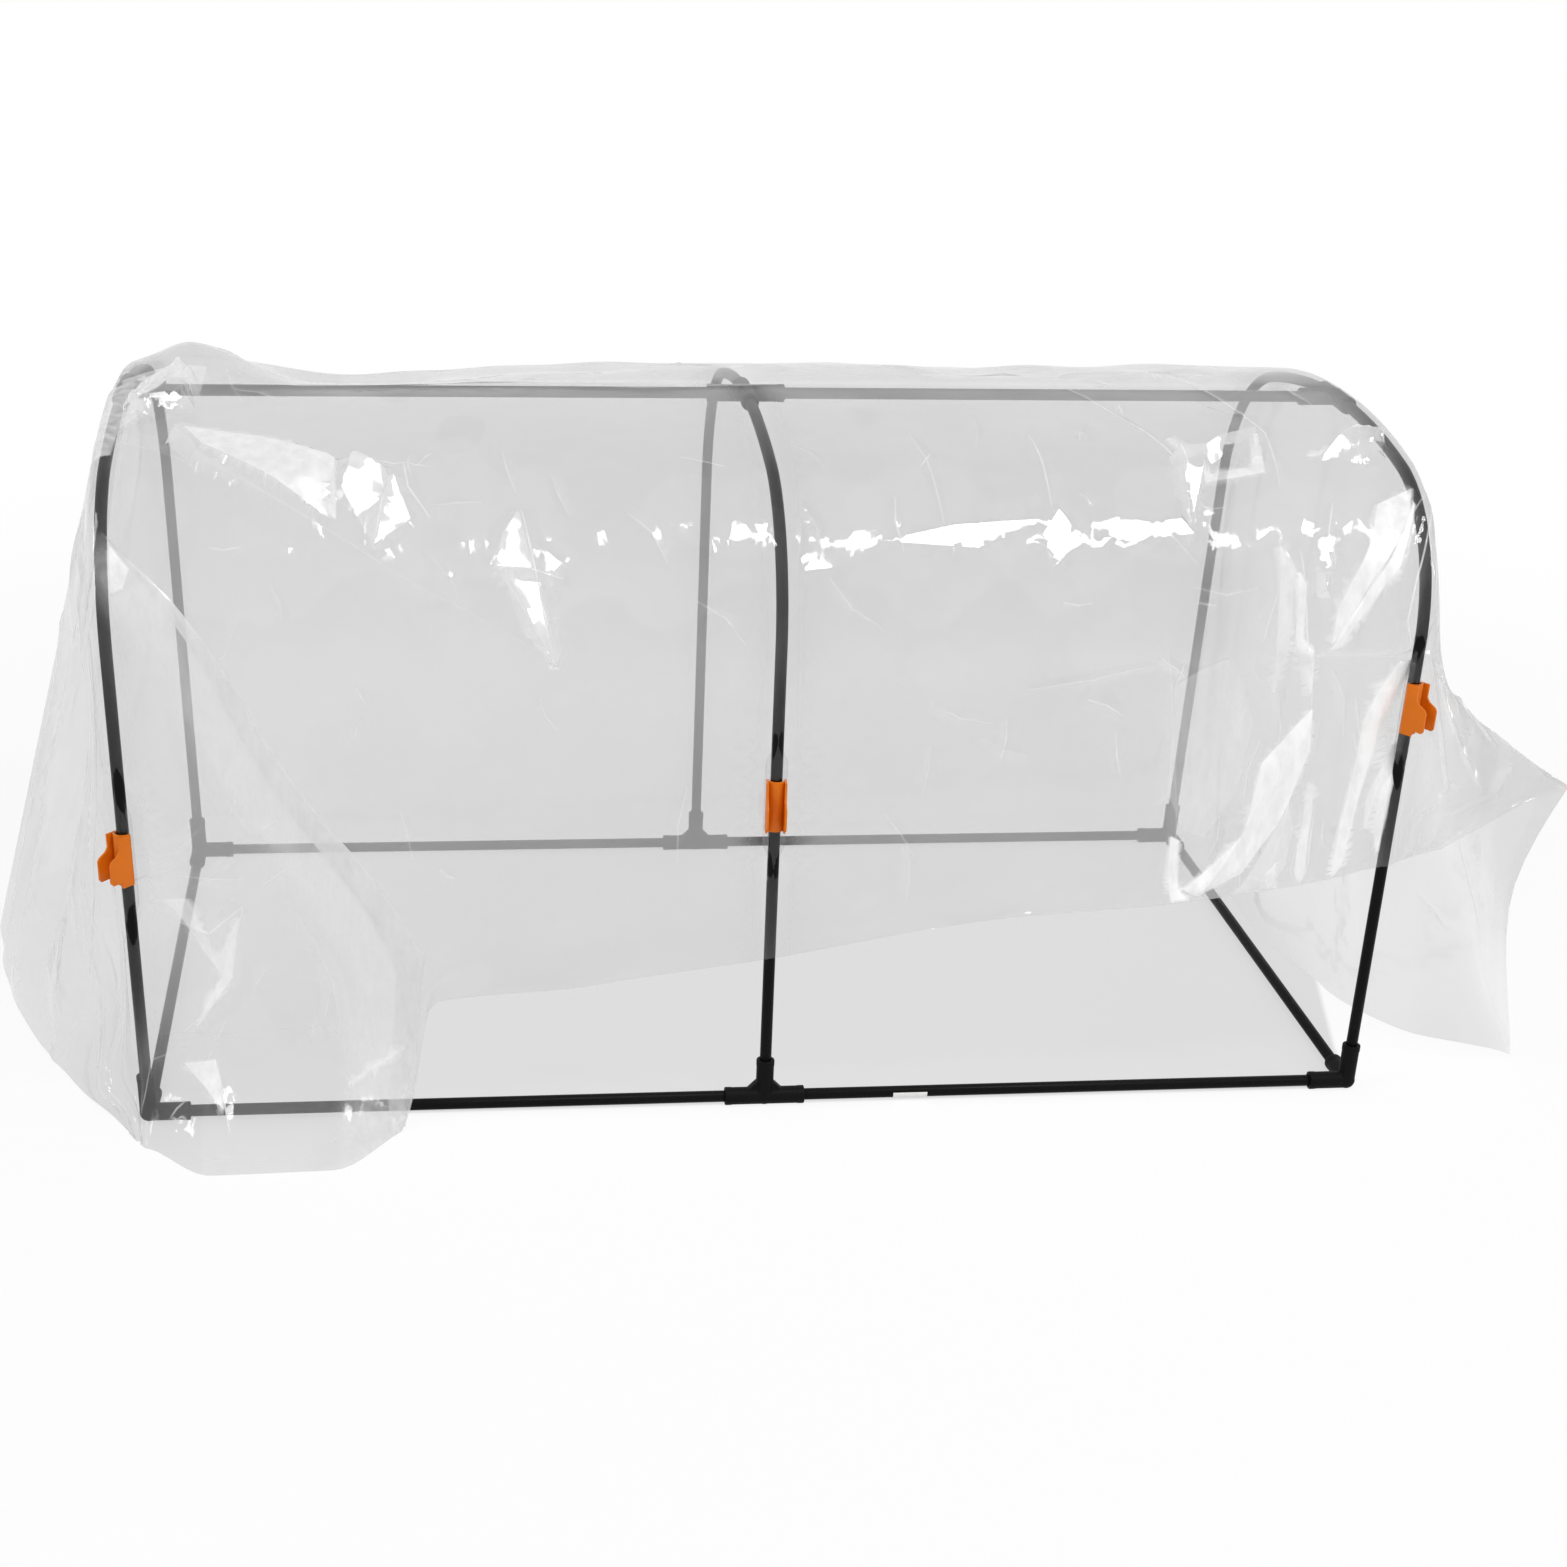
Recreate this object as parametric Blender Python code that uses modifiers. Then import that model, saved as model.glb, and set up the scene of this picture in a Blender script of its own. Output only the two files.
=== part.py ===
"""Hoop row cover: a low growing tunnel of push-together tubes under one clear film.

Origin on the ground at the middle of the base frame, +X along the row to the right,
+Y to the back and +Z up. Every length is in metres.
"""
import math

import bmesh
import bpy
from mathutils import Matrix, Vector

# Base frame and hoops
FRAME_LENGTH = 1.150
FRAME_DEPTH = 0.630
RIDGE_HEIGHT = 0.605
CROWN_ANGLE = math.radians(13)
BEND_RADIUS = 0.145
LEG_SPLAY = math.radians(1.04)
HOOP_LEAN = {"left": -0.018, "middle": 0.0, "right": 0.022}

# Tubes
TUBE_RADIUS = 0.0055
TUBE_WALL = 0.0008
TUBE_BEVEL_RESOLUTION = 4
CROWN_SEGMENTS = 3
BEND_SEGMENTS = 8

# Connectors
FIT_GAP = 0.0003
SOCKET_WALL = 0.0027
SOCKET_REACH = 0.038
SOCKET_STOP = 0.008
SOCKET_CHAMFER = 0.0009
HUB_EXTRA = 0.0004
GROUND_FLAT = 0.0003
GUSSET_SIZE = 0.0075
GUSSET_THICKNESS = 0.009
GUSSET_FOOT = 0.0077
CONNECTOR_SIDES = 16

# Clips
CLIP_HEIGHT = 0.048
CLIP_WALL = 0.0020
CLIP_HALF_ANGLE = math.radians(95)
CLIP_ARC_SEGMENTS = 14
CLIP_TRAVEL = 0.010
FLAP_SHORT = 0.012
FLAP_LONG = 0.024
FLAP_THICKNESS = 0.0019
CLIP_CENTRE = {"left": 0.254, "middle": 0.296, "right": 0.384}
CLIP_TURN = {"left": math.radians(44), "middle": math.radians(4), "right": math.radians(-34)}

# Label on the front rail
LABEL_START = 0.124
LABEL_LENGTH = 0.033
LABEL_THICKNESS = 0.0003
LABEL_TOP = math.radians(15)
LABEL_BOTTOM = math.radians(-70)

# Film
FILM_THICKNESS = 0.0006
WRAP_STEP = math.radians(45)
PINCH_MARGIN = 0.0025
PINCH_LIP_GAP = 0.0012
PINCH_FLARE = 0.0016
PINCH_SLANT = 0.0014
BASE_CLEARANCE = 0.0035

BAY = FRAME_LENGTH / 2
HALF_DEPTH = FRAME_DEPTH / 2
BORE_RADIUS = TUBE_RADIUS + FIT_GAP
SOCKET_RADIUS = BORE_RADIUS + SOCKET_WALL
BASE_AXIS = SOCKET_RADIUS - GROUND_FLAT
STATION = {"left": -1, "middle": 0, "right": 1}
FRONT = 1
REAR = -1

BLACK_PLASTIC = ("black plastic", (0.012, 0.012, 0.013, 1), 0.45, 0.0)
BLACK_TUBE = ("black coated steel", (0.010, 0.010, 0.011, 1), 0.38, 0.0)
ORANGE_PLASTIC = ("orange plastic", (0.80, 0.19, 0.008, 1), 0.42, 0.0)
CLEAR_FILM = ("clear film", (0.90, 0.91, 0.92, 0.35), 0.12, 0.0)
WHITE_LABEL = ("white label", (0.85, 0.85, 0.84, 1), 0.55, 0.0)


# Scene helpers

def clear_scene():
    for old in list(bpy.data.objects):
        bpy.data.objects.remove(old, do_unlink=True)


def new_collection(name):
    collection = bpy.data.collections.new(name)
    bpy.context.scene.collection.children.link(collection)
    return collection


def material(spec):
    name, colour, roughness, metallic = spec
    found = bpy.data.materials.get(name)
    if found:
        return found
    made = bpy.data.materials.new(name)
    made.use_nodes = True
    shader = made.node_tree.nodes["Principled BSDF"]
    shader.inputs["Base Color"].default_value = colour
    shader.inputs["Roughness"].default_value = roughness
    shader.inputs["Metallic"].default_value = metallic
    shader.inputs["Alpha"].default_value = colour[3]
    made.diffuse_color = colour
    return made


def add_object(name, data, collection, spec=None):
    made = bpy.data.objects.new(name, data)
    collection.objects.link(made)
    if spec:
        data.materials.append(material(spec))
    return made


def hide_as_guide(guide):
    guide.hide_render = True
    guide.display_type = "WIRE"


def shade(mesh, angle=35):
    mesh.shade_smooth()
    mesh.set_sharp_from_angle(angle=math.radians(angle))


def mesh_from_curve(curve_object):
    """Turn a curve object into a welded mesh object that keeps its name and place."""
    graph = bpy.context.evaluated_depsgraph_get()
    mesh = bpy.data.meshes.new_from_object(curve_object.evaluated_get(graph))
    welded = bmesh.new()
    welded.from_mesh(mesh)
    bmesh.ops.remove_doubles(welded, verts=welded.verts, dist=0.00001)
    bmesh.ops.recalc_face_normals(welded, faces=welded.faces)
    welded.to_mesh(mesh)
    welded.free()
    name = curve_object.name
    collection = curve_object.users_collection[0]
    place = curve_object.matrix_world.copy()
    bpy.data.objects.remove(curve_object, do_unlink=True)
    made = bpy.data.objects.new(name, mesh)
    collection.objects.link(made)
    made.matrix_world = place
    return made


def boolean(target, other, operation):
    modifier = target.modifiers.new(f"{operation.lower()} {other.name}", "BOOLEAN")
    modifier.operation = operation
    modifier.object = other
    modifier.solver = "EXACT"
    hide_as_guide(other)


def frame_along(direction, hint):
    """Rotation whose Z is the direction and whose Y lies as near the hint as it can."""
    up = direction.normalized()
    side = hint.cross(up).normalized()
    forward = up.cross(side)
    return Matrix((side, forward, up)).transposed().to_4x4()


# Hoop geometry, shared by the tubes, the connectors, the clips and the film

LEG_TILT = math.pi / 2 - LEG_SPLAY
CROWN_RADIUS = (
    HALF_DEPTH
    - BEND_RADIUS * (math.sin(LEG_TILT) - math.sin(CROWN_ANGLE))
    - math.tan(LEG_SPLAY)
    * (RIDGE_HEIGHT - BEND_RADIUS * (math.cos(CROWN_ANGLE) - math.cos(LEG_TILT)))
) / (math.sin(CROWN_ANGLE) - math.tan(LEG_SPLAY) * (1 - math.cos(CROWN_ANGLE)))
CROWN_LENGTH = CROWN_RADIUS * CROWN_ANGLE
BEND_LENGTH = BEND_RADIUS * (LEG_TILT - CROWN_ANGLE)
CROWN_DROP = CROWN_RADIUS * (1 - math.cos(CROWN_ANGLE))
BEND_DROP = BEND_RADIUS * (math.cos(CROWN_ANGLE) - math.cos(LEG_TILT))
LEG_TOP = RIDGE_HEIGHT - CROWN_DROP - BEND_DROP
LEG_LENGTH = LEG_TOP / math.cos(LEG_SPLAY)
HALF_LENGTH = CROWN_LENGTH + BEND_LENGTH + LEG_LENGTH


def half_profile(run):
    """Distance out, height above the base axis and normal tilt, a run along half a hoop."""
    if run <= CROWN_LENGTH:
        tilt = run / CROWN_RADIUS
        return CROWN_RADIUS * math.sin(tilt), RIDGE_HEIGHT - CROWN_RADIUS * (1 - math.cos(tilt)), tilt
    out = CROWN_RADIUS * math.sin(CROWN_ANGLE)
    height = RIDGE_HEIGHT - CROWN_DROP
    if run <= CROWN_LENGTH + BEND_LENGTH:
        tilt = CROWN_ANGLE + (run - CROWN_LENGTH) / BEND_RADIUS
        out += BEND_RADIUS * (math.sin(tilt) - math.sin(CROWN_ANGLE))
        return out, height - BEND_RADIUS * (math.cos(CROWN_ANGLE) - math.cos(tilt)), tilt
    out += BEND_RADIUS * (math.sin(LEG_TILT) - math.sin(CROWN_ANGLE))
    leg_run = run - CROWN_LENGTH - BEND_LENGTH
    return out + leg_run * math.sin(LEG_SPLAY), LEG_TOP - leg_run * math.cos(LEG_SPLAY), LEG_TILT


def lean_at(station):
    """Sideways lean of the ridge at a station from -1, the left hoop, to 1, the right one."""
    end = "left" if station < 0 else "right"
    return HOOP_LEAN["middle"] + abs(station) * (HOOP_LEAN[end] - HOOP_LEAN["middle"])


def cover_point(station, face, out, height):
    """World point of a place in the plane of a hoop that would stand at this station."""
    lean = math.asin(lean_at(station) / RIDGE_HEIGHT)
    x = station * BAY + height * math.sin(lean)
    return Vector((x, -face * out, BASE_AXIS + height * math.cos(lean)))


def hoop_point(station, face, run, offset=0.0):
    out, height, tilt = half_profile(run)
    return cover_point(station, face, out + offset * math.sin(tilt), height + offset * math.cos(tilt))


def leg_axis(station, face):
    """Upward direction of a straight leg."""
    top = hoop_point(station, face, CROWN_LENGTH + BEND_LENGTH)
    return (top - hoop_point(station, face, HALF_LENGTH)).normalized()


def leg_run(height):
    return HALF_LENGTH - height / math.cos(LEG_SPLAY)


# Tubes

def tube(name, points, collection):
    """Hollow tube: an open bevelled curve given a wall inwards."""
    curve = bpy.data.curves.new(name, "CURVE")
    curve.dimensions = "3D"
    curve.bevel_depth = TUBE_RADIUS
    curve.bevel_resolution = TUBE_BEVEL_RESOLUTION
    curve.use_fill_caps = False
    spline = curve.splines.new("POLY")
    spline.points.add(len(points) - 1)
    for place, point in zip(spline.points, points):
        place.co = (*point, 1)
    made = mesh_from_curve(add_object(name, curve, collection))
    made.data.materials.append(material(BLACK_TUBE))
    shade(made.data)
    wall = made.modifiers.new("wall", "SOLIDIFY")
    wall.thickness = TUBE_WALL
    wall.offset = -1
    return made


def hoop_half(name, station, face, collection):
    runs = [SOCKET_STOP + FIT_GAP, SOCKET_REACH]
    runs += [CROWN_LENGTH * (step + 1) / CROWN_SEGMENTS for step in range(CROWN_SEGMENTS)]
    runs += [CROWN_LENGTH + BEND_LENGTH * (step + 1) / BEND_SEGMENTS for step in range(BEND_SEGMENTS)]
    runs += [HALF_LENGTH - SOCKET_STOP - FIT_GAP]
    return tube(name, [hoop_point(station, face, run) for run in runs], collection)


def straight_tube(name, start, end, length, collection):
    """A tube of a given length, centred between the middles of two connectors."""
    middle = (start + end) / 2
    half = (end - start).normalized() * length / 2
    return tube(name, [middle - half, middle + half], collection)


def add_tubes(collection):
    stop = SOCKET_STOP + FIT_GAP
    for side in ("left", "right"):
        station = STATION[side]
        for face, where in ((FRONT, "front"), (REAR, "rear")):
            corner = cover_point(station, face, HALF_DEPTH, 0)
            tee = cover_point(0, face, HALF_DEPTH, 0)
            straight_tube(f"rail_{where}_{side}", corner, tee, BAY - 2 * stop, collection)
        front = cover_point(station, FRONT, HALF_DEPTH, 0)
        rear = cover_point(station, REAR, HALF_DEPTH, 0)
        straight_tube(f"rail_end_{side}", front, rear, FRAME_DEPTH - 2 * stop, collection)
        ridge = hoop_point(station, FRONT, 0)
        straight_tube(f"ridge_pole_{side}", ridge, hoop_point(0, FRONT, 0), BAY - 2 * stop, collection)
    for side, station in STATION.items():
        hoop_half(f"hoop_{side}_front", station, FRONT, collection)
        hoop_half(f"hoop_{side}_rear", station, REAR, collection)


# Connectors

def cylinder(name, start, end, radius, collection, chamfer=0.0):
    """Closed cylinder between two points, its rim at the end point bevelled."""
    shape = bmesh.new()
    length = (end - start).length
    bmesh.ops.create_cone(
        shape, cap_ends=True, segments=CONNECTOR_SIDES, radius1=radius, radius2=radius, depth=length
    )
    if chamfer:
        rim = [edge for edge in shape.edges if all(vert.co.z > length * 0.49 for vert in edge.verts)]
        bmesh.ops.bevel(shape, geom=rim, offset=chamfer, segments=1, affect="EDGES", profile=0.5)
    mesh = bpy.data.meshes.new(name)
    shape.to_mesh(mesh)
    shape.free()
    made = add_object(name, mesh, collection)
    direction = end - start
    hint = Vector((0, 0, 1)) if abs(direction.normalized().z) < 0.9 else Vector((0, 1, 0))
    made.matrix_world = Matrix.Translation((start + end) / 2) @ frame_along(direction, hint)
    return made


def gusset(name, centre, first, second, collection):
    """Triangular web that fills the corner between two square arms."""
    edge = SOCKET_RADIUS + GUSSET_SIZE
    outline = bpy.data.curves.new(name, "CURVE")
    outline.dimensions = "2D"
    outline.fill_mode = "BOTH"
    outline.extrude = GUSSET_THICKNESS / 2
    spline = outline.splines.new("POLY")
    corners = [(0, 0), (edge, 0), (edge, GUSSET_FOOT), (GUSSET_FOOT, edge), (0, edge)]
    spline.points.add(len(corners) - 1)
    for place, (along, across) in zip(spline.points, corners):
        place.co = (along, across, 0, 1)
    spline.use_cyclic_u = True
    made = mesh_from_curve(add_object(name, outline, collection))
    normal = first.cross(second).normalized()
    axes = Matrix((first.normalized(), normal.cross(first).normalized(), normal)).transposed().to_4x4()
    made.matrix_world = Matrix.Translation(centre) @ axes
    return made


def connector(name, centre, arms, parts, cutters, gussets=(), on_ground=False):
    """Hub with one blind socket per arm. An arm is a function from a distance to a point."""
    hub = bmesh.new()
    bmesh.ops.create_uvsphere(
        hub, u_segments=CONNECTOR_SIDES, v_segments=CONNECTOR_SIDES // 2, radius=SOCKET_RADIUS + HUB_EXTRA
    )
    mesh = bpy.data.meshes.new(name)
    hub.to_mesh(mesh)
    hub.free()
    made = add_object(name, mesh, parts, BLACK_PLASTIC)
    made.location = centre
    for number, arm in enumerate(arms):
        sleeve = cylinder(
            f"{name} sleeve {number}", centre, arm(SOCKET_REACH), SOCKET_RADIUS, cutters, SOCKET_CHAMFER
        )
        boolean(made, sleeve, "UNION")
    for number, (first, second) in enumerate(gussets):
        directions = [arms[index](SOCKET_REACH) - centre for index in (first, second)]
        web = gusset(f"{name} gusset {number}", centre, *directions, cutters)
        boolean(made, web, "UNION")
    bore_radius = BORE_RADIUS / math.cos(math.pi / CONNECTOR_SIDES)
    for number, arm in enumerate(arms):
        mouth = arm(SOCKET_REACH)
        stop = arm(SOCKET_STOP)
        bore = cylinder(f"{name} bore {number}", stop, mouth + (mouth - stop) * 0.1, bore_radius, cutters)
        boolean(made, bore, "DIFFERENCE")
    if on_ground:
        block = bmesh.new()
        bmesh.ops.create_cube(block, size=4 * SOCKET_REACH)
        mesh = bpy.data.meshes.new(f"{name} ground")
        block.to_mesh(mesh)
        block.free()
        ground = add_object(f"{name} ground", mesh, cutters)
        ground.location = (centre.x, centre.y, -2 * SOCKET_REACH)
        boolean(made, ground, "DIFFERENCE")
    shade(made.data)
    return made


def straight_arm(centre, direction):
    return lambda distance: centre + direction.normalized() * distance


def ridge_arm(station, face):
    return lambda distance: hoop_point(station, face, distance)


def add_connectors(parts, cutters):
    right = Vector((1, 0, 0))
    back = Vector((0, 1, 0))
    for face, where in ((FRONT, "front"), (REAR, "rear")):
        for side in ("left", "right"):
            station = STATION[side]
            centre = cover_point(station, face, HALF_DEPTH, 0)
            ways = [-station * right, face * back, leg_axis(station, face)]
            arms = [straight_arm(centre, way) for way in ways]
            connector(f"corner_{where}_{side}", centre, arms, parts, cutters, on_ground=True)
        centre = cover_point(0, face, HALF_DEPTH, 0)
        ways = [-right, right, leg_axis(0, face)]
        arms = [straight_arm(centre, way) for way in ways]
        connector(f"tee_{where}", centre, arms, parts, cutters, gussets=((0, 2), (2, 1)), on_ground=True)
    middle = hoop_point(0, FRONT, 0)
    poles = []
    for side in ("left", "right"):
        station = STATION[side]
        centre = hoop_point(station, FRONT, 0)
        pole = middle - centre
        poles.append(straight_arm(middle, -pole))
        arms = [ridge_arm(station, FRONT), ridge_arm(station, REAR), straight_arm(centre, pole)]
        connector(f"ridge_tee_{side}", centre, arms, parts, cutters)
    arms = [ridge_arm(0, FRONT), ridge_arm(0, REAR)] + poles
    connector("ridge_cross", middle, arms, parts, cutters)


# Clips

FILM_REACH = (TUBE_RADIUS + FIT_GAP + FILM_THICKNESS / 2) / math.cos(WRAP_STEP / 2)
CLIP_BORE = FILM_REACH + FILM_THICKNESS / 2 + FIT_GAP
CLIP_RADIUS = CLIP_BORE + CLIP_WALL


def clip_frame(side):
    """Place of a clip: Z up its leg, Y towards the finger flaps, at the clip's centre."""
    station = STATION[side]
    up = leg_axis(station, FRONT)
    turn = CLIP_TURN[side]
    flaps = Vector((-math.sin(turn), -math.cos(turn), 0))
    centre = hoop_point(station, FRONT, leg_run(CLIP_CENTRE[side]))
    return Matrix.Translation(centre) @ frame_along(up, flaps)


def clip_section():
    """Outline of the C that hugs the tube, open on the side away from the flaps."""
    points = []
    for step in range(CLIP_ARC_SEGMENTS + 1):
        angle = CLIP_HALF_ANGLE * (2 * step / CLIP_ARC_SEGMENTS - 1)
        points.append((CLIP_RADIUS * math.sin(angle), CLIP_RADIUS * math.cos(angle)))
    tip = (CLIP_BORE + CLIP_RADIUS) / 2
    tip_angle = CLIP_HALF_ANGLE + CLIP_WALL / 2 / tip
    points.append((tip * math.sin(tip_angle), tip * math.cos(tip_angle)))
    for step in range(CLIP_ARC_SEGMENTS + 1):
        angle = CLIP_HALF_ANGLE * (1 - 2 * step / CLIP_ARC_SEGMENTS)
        points.append((CLIP_BORE * math.sin(angle), CLIP_BORE * math.cos(angle)))
    points.append((-tip * math.sin(tip_angle), tip * math.cos(tip_angle)))
    return points


def flap_outline():
    """Side view of a finger flap: distance forward of the tube axis against height."""
    top = CLIP_HEIGHT / 2
    shares = [
        (0.04, 1.00), (0.50, 1.00), (0.50, 0.74), (0.62, 0.66), (0.92, 0.58), (1.00, 0.52),
        (1.00, 0.16), (0.93, 0.10), (0.55, 0.12), (0.42, 0.00), (0.04, 0.00),
    ]
    step = FLAP_SHORT / FLAP_LONG / 0.50
    points = []
    for forward, height in shares:
        reach = FLAP_LONG * (forward * step if forward <= 0.55 else forward)
        points.append((reach, CLIP_HEIGHT * height - top))
    return points


def extruded(name, outline, thickness, collection):
    curve = bpy.data.curves.new(name, "CURVE")
    curve.dimensions = "2D"
    curve.fill_mode = "BOTH"
    curve.extrude = thickness / 2
    spline = curve.splines.new("POLY")
    spline.points.add(len(outline) - 1)
    for place, (across, along) in zip(spline.points, outline):
        place.co = (across, along, 0, 1)
    spline.use_cyclic_u = True
    return mesh_from_curve(add_object(name, curve, collection))


def add_clips(parts, cutters):
    for side in STATION:
        place = clip_frame(side)
        clip = extruded(f"clip_{side}", clip_section(), CLIP_HEIGHT, parts)
        clip.data.materials.append(material(ORANGE_PLASTIC))
        clip.matrix_world = place
        for hand, word in ((-1, "near"), (1, "far")):
            flap = extruded(f"clip {side} flap {word}", flap_outline(), FLAP_THICKNESS, cutters)
            # The outline's two axes become the clip's forward and up axes
            stand = Matrix(((0, 0, 1), (1, 0, 0), (0, 1, 0))).to_4x4()
            across = hand * (CLIP_BORE + CLIP_WALL / 2)
            flap.matrix_world = place @ Matrix.Translation((across, 0, 0)) @ stand
            boolean(clip, flap, "UNION")
        shade(clip.data)


# Label

def add_label(parts):
    """Blank sticker on the front right rail, a short arc of sheet."""
    sheet = bmesh.new()
    bmesh.ops.create_grid(sheet, x_segments=1, y_segments=6, size=0.5)
    centre = cover_point(0, FRONT, HALF_DEPTH, 0)
    radius = TUBE_RADIUS + FIT_GAP + LABEL_THICKNESS / 2
    for vert in sheet.verts:
        angle = LABEL_BOTTOM + (vert.co.y + 0.5) * (LABEL_TOP - LABEL_BOTTOM)
        along = LABEL_START + (vert.co.x + 0.5) * LABEL_LENGTH
        vert.co = (along, -radius * math.cos(angle), radius * math.sin(angle))
    mesh = bpy.data.meshes.new("rail_label")
    sheet.to_mesh(mesh)
    sheet.free()
    made = add_object("rail_label", mesh, parts, WHITE_LABEL)
    made.location = centre
    thickness = made.modifiers.new("thickness", "SOLIDIFY")
    thickness.thickness = LABEL_THICKNESS
    thickness.offset = 0
    shade(mesh)


# Film

HOOP_CLEAR = FILM_REACH
SOCKET_CLEAR = (SOCKET_RADIUS + HUB_EXTRA + FIT_GAP + FILM_THICKNESS / 2) / math.cos(WRAP_STEP / 2)
BEND_ROWS = 3
BEND_CLEAR = (BEND_RADIUS + HOOP_CLEAR) / math.cos((LEG_TILT - CROWN_ANGLE) / BEND_ROWS / 2) - BEND_RADIUS
FLOOR = FILM_THICKNESS / 2

# Heights above the base axis of the rows above and below each clip, and of the hem
ROW_ABOVE_CLIP = {"left": 0.353, "middle": 0.391, "right": 0.438}
ROW_BELOW_CLIP = {"left": 0.163, "middle": 0.201, "right": 0.309}

# Front hem, by station: how far it has slid right, out from the base frame and up
FRONT_HEM = [
    (-1.00, (0.006, 0.058, 0.000)),
    (-0.90, (0.005, 0.109, 0.000)),
    (-0.70, (0.000, 0.106, 0.000)),
    (-0.59, (-0.003, 0.037, 0.000)),
    (-0.53, (-0.007, 0.009, 0.118)),
    (-0.30, (0.000, 0.009, 0.131)),
    (0.00, (0.000, 0.008, 0.155)),
    (0.30, (0.000, 0.008, 0.186)),
    (0.70, (0.000, 0.008, 0.206)),
    (0.90, (0.002, 0.008, 0.224)),
    (1.00, (0.008, 0.008, 0.238)),
]
REAR_HEM = [
    (-1.00, (0.000, 0.016, 0.043)),
    (0.00, (0.000, 0.047, 0.008)),
    (1.00, (0.008, 0.113, 0.000)),
]

# Free edges of the two end curtains, by row from the rear hem, 0, to the front hem, 1: how far
# beyond the end hoop's base, how far back as a share of half the depth, and how high
LEFT_EDGE = [
    (0.00, (0.037, 1.117, 0.012)),
    (0.17, (0.141, 0.984, 0.000)),
    (0.33, (0.182, 0.737, 0.000)),
    (0.44, (0.200, 0.457, 0.000)),
    (0.56, (0.182, 0.127, 0.000)),
    (0.67, (0.163, -0.146, 0.000)),
    (0.78, (0.115, -0.524, 0.000)),
    (0.89, (0.059, -0.870, 0.000)),
    (1.00, (0.015, -1.095, 0.000)),
]
RIGHT_EDGE = [
    (0.00, (0.065, 1.371, 0.000)),
    (0.17, (0.080, 1.143, 0.000)),
    (0.33, (0.065, 0.698, 0.000)),
    (0.44, (0.065, 0.190, 0.000)),
    (0.55, (0.093, -0.381, 0.000)),
    (0.62, (0.145, -0.670, 0.000)),
    (0.67, (0.200, -0.832, 0.000)),
    (0.72, (0.171, -0.959, 0.120)),
    (0.78, (0.177, -1.022, 0.322)),
    (0.89, (0.125, -1.025, 0.296)),
    (1.00, (0.059, -1.025, 0.255)),
]

# Stations of the columns over the bays, and shares down the end curtains
BAY_COLUMNS = [-0.90, -0.70, -0.59, -0.53, -0.30, -0.10, 0.10, 0.30, 0.50, 0.70, 0.90]
CURTAIN_SHARES = [0.12, 0.40, 0.70, 1.00]
SHOULDER_OUT = 0.0085
SHOULDER_GAP = 0.001
SHOULDER_IN = 0.0010
FAN_FOLD = 0.012
CURTAIN_BULGE = 0.030

# Puff of loose film over the left hoop, by station and by run from the ridge
PUFF_HEIGHT = 0.032
PUFF_STATION = -0.90
PUFF_STATION_WIDTH = 0.06
PUFF_RUN = 0.07
PUFF_RUN_WIDTH = 0.10

# Shares of the straight leg and of the way to the hem at which the film has a row
REAR_WALL_SHARE = 0.50
REAR_HEM_SHARES = [0.60, 1.00]
FRONT_HEM_SHARES = [0.45, 0.75, 1.00]
HEM_KNEE_SHARE = 0.22
ROW_PAST_SOCKET = 0.004


def read_along(table, key):
    """Point at a key, straight between the neighbouring points of a table."""
    for (low, start), (high, end) in zip(table, table[1:]):
        if key <= high:
            share = max(0.0, (key - low) / (high - low))
            return Vector(start).lerp(Vector(end), share)
    return Vector(table[-1][1])


def between_hoops(values, station):
    end = "left" if station < 0 else "right"
    return values["middle"] + abs(station) * (values[end] - values["middle"])


def ease(start, knee, end, share):
    """Quadratic curve that leaves the start towards the knee and reaches the end."""
    return start.lerp(knee, share).lerp(knee.lerp(end, share), share)


def film_rows():
    """The rows of the film from the rear hem over the ridge to the front hem."""
    bend = [CROWN_LENGTH + BEND_LENGTH * step / BEND_ROWS for step in range(BEND_ROWS + 1)]
    over = [(0.0, SOCKET_CLEAR), (SOCKET_REACH + ROW_PAST_SOCKET, SOCKET_CLEAR)]
    over += [(run, BEND_CLEAR) for run in bend]
    rear = [("hem", share) for share in reversed(REAR_HEM_SHARES)] + [("wall", REAR_WALL_SHARE)]
    rear += [("run", item) for item in reversed(over)]
    front = [("run", item) for item in over[1:]] + [("above", None), ("below", None)]
    front += [("hem", share) for share in FRONT_HEM_SHARES]
    return [(REAR, *row) for row in rear] + [(FRONT, *row) for row in front]


def wall_point(station, face, height, offset):
    return hoop_point(station, face, leg_run(height), offset)


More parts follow.
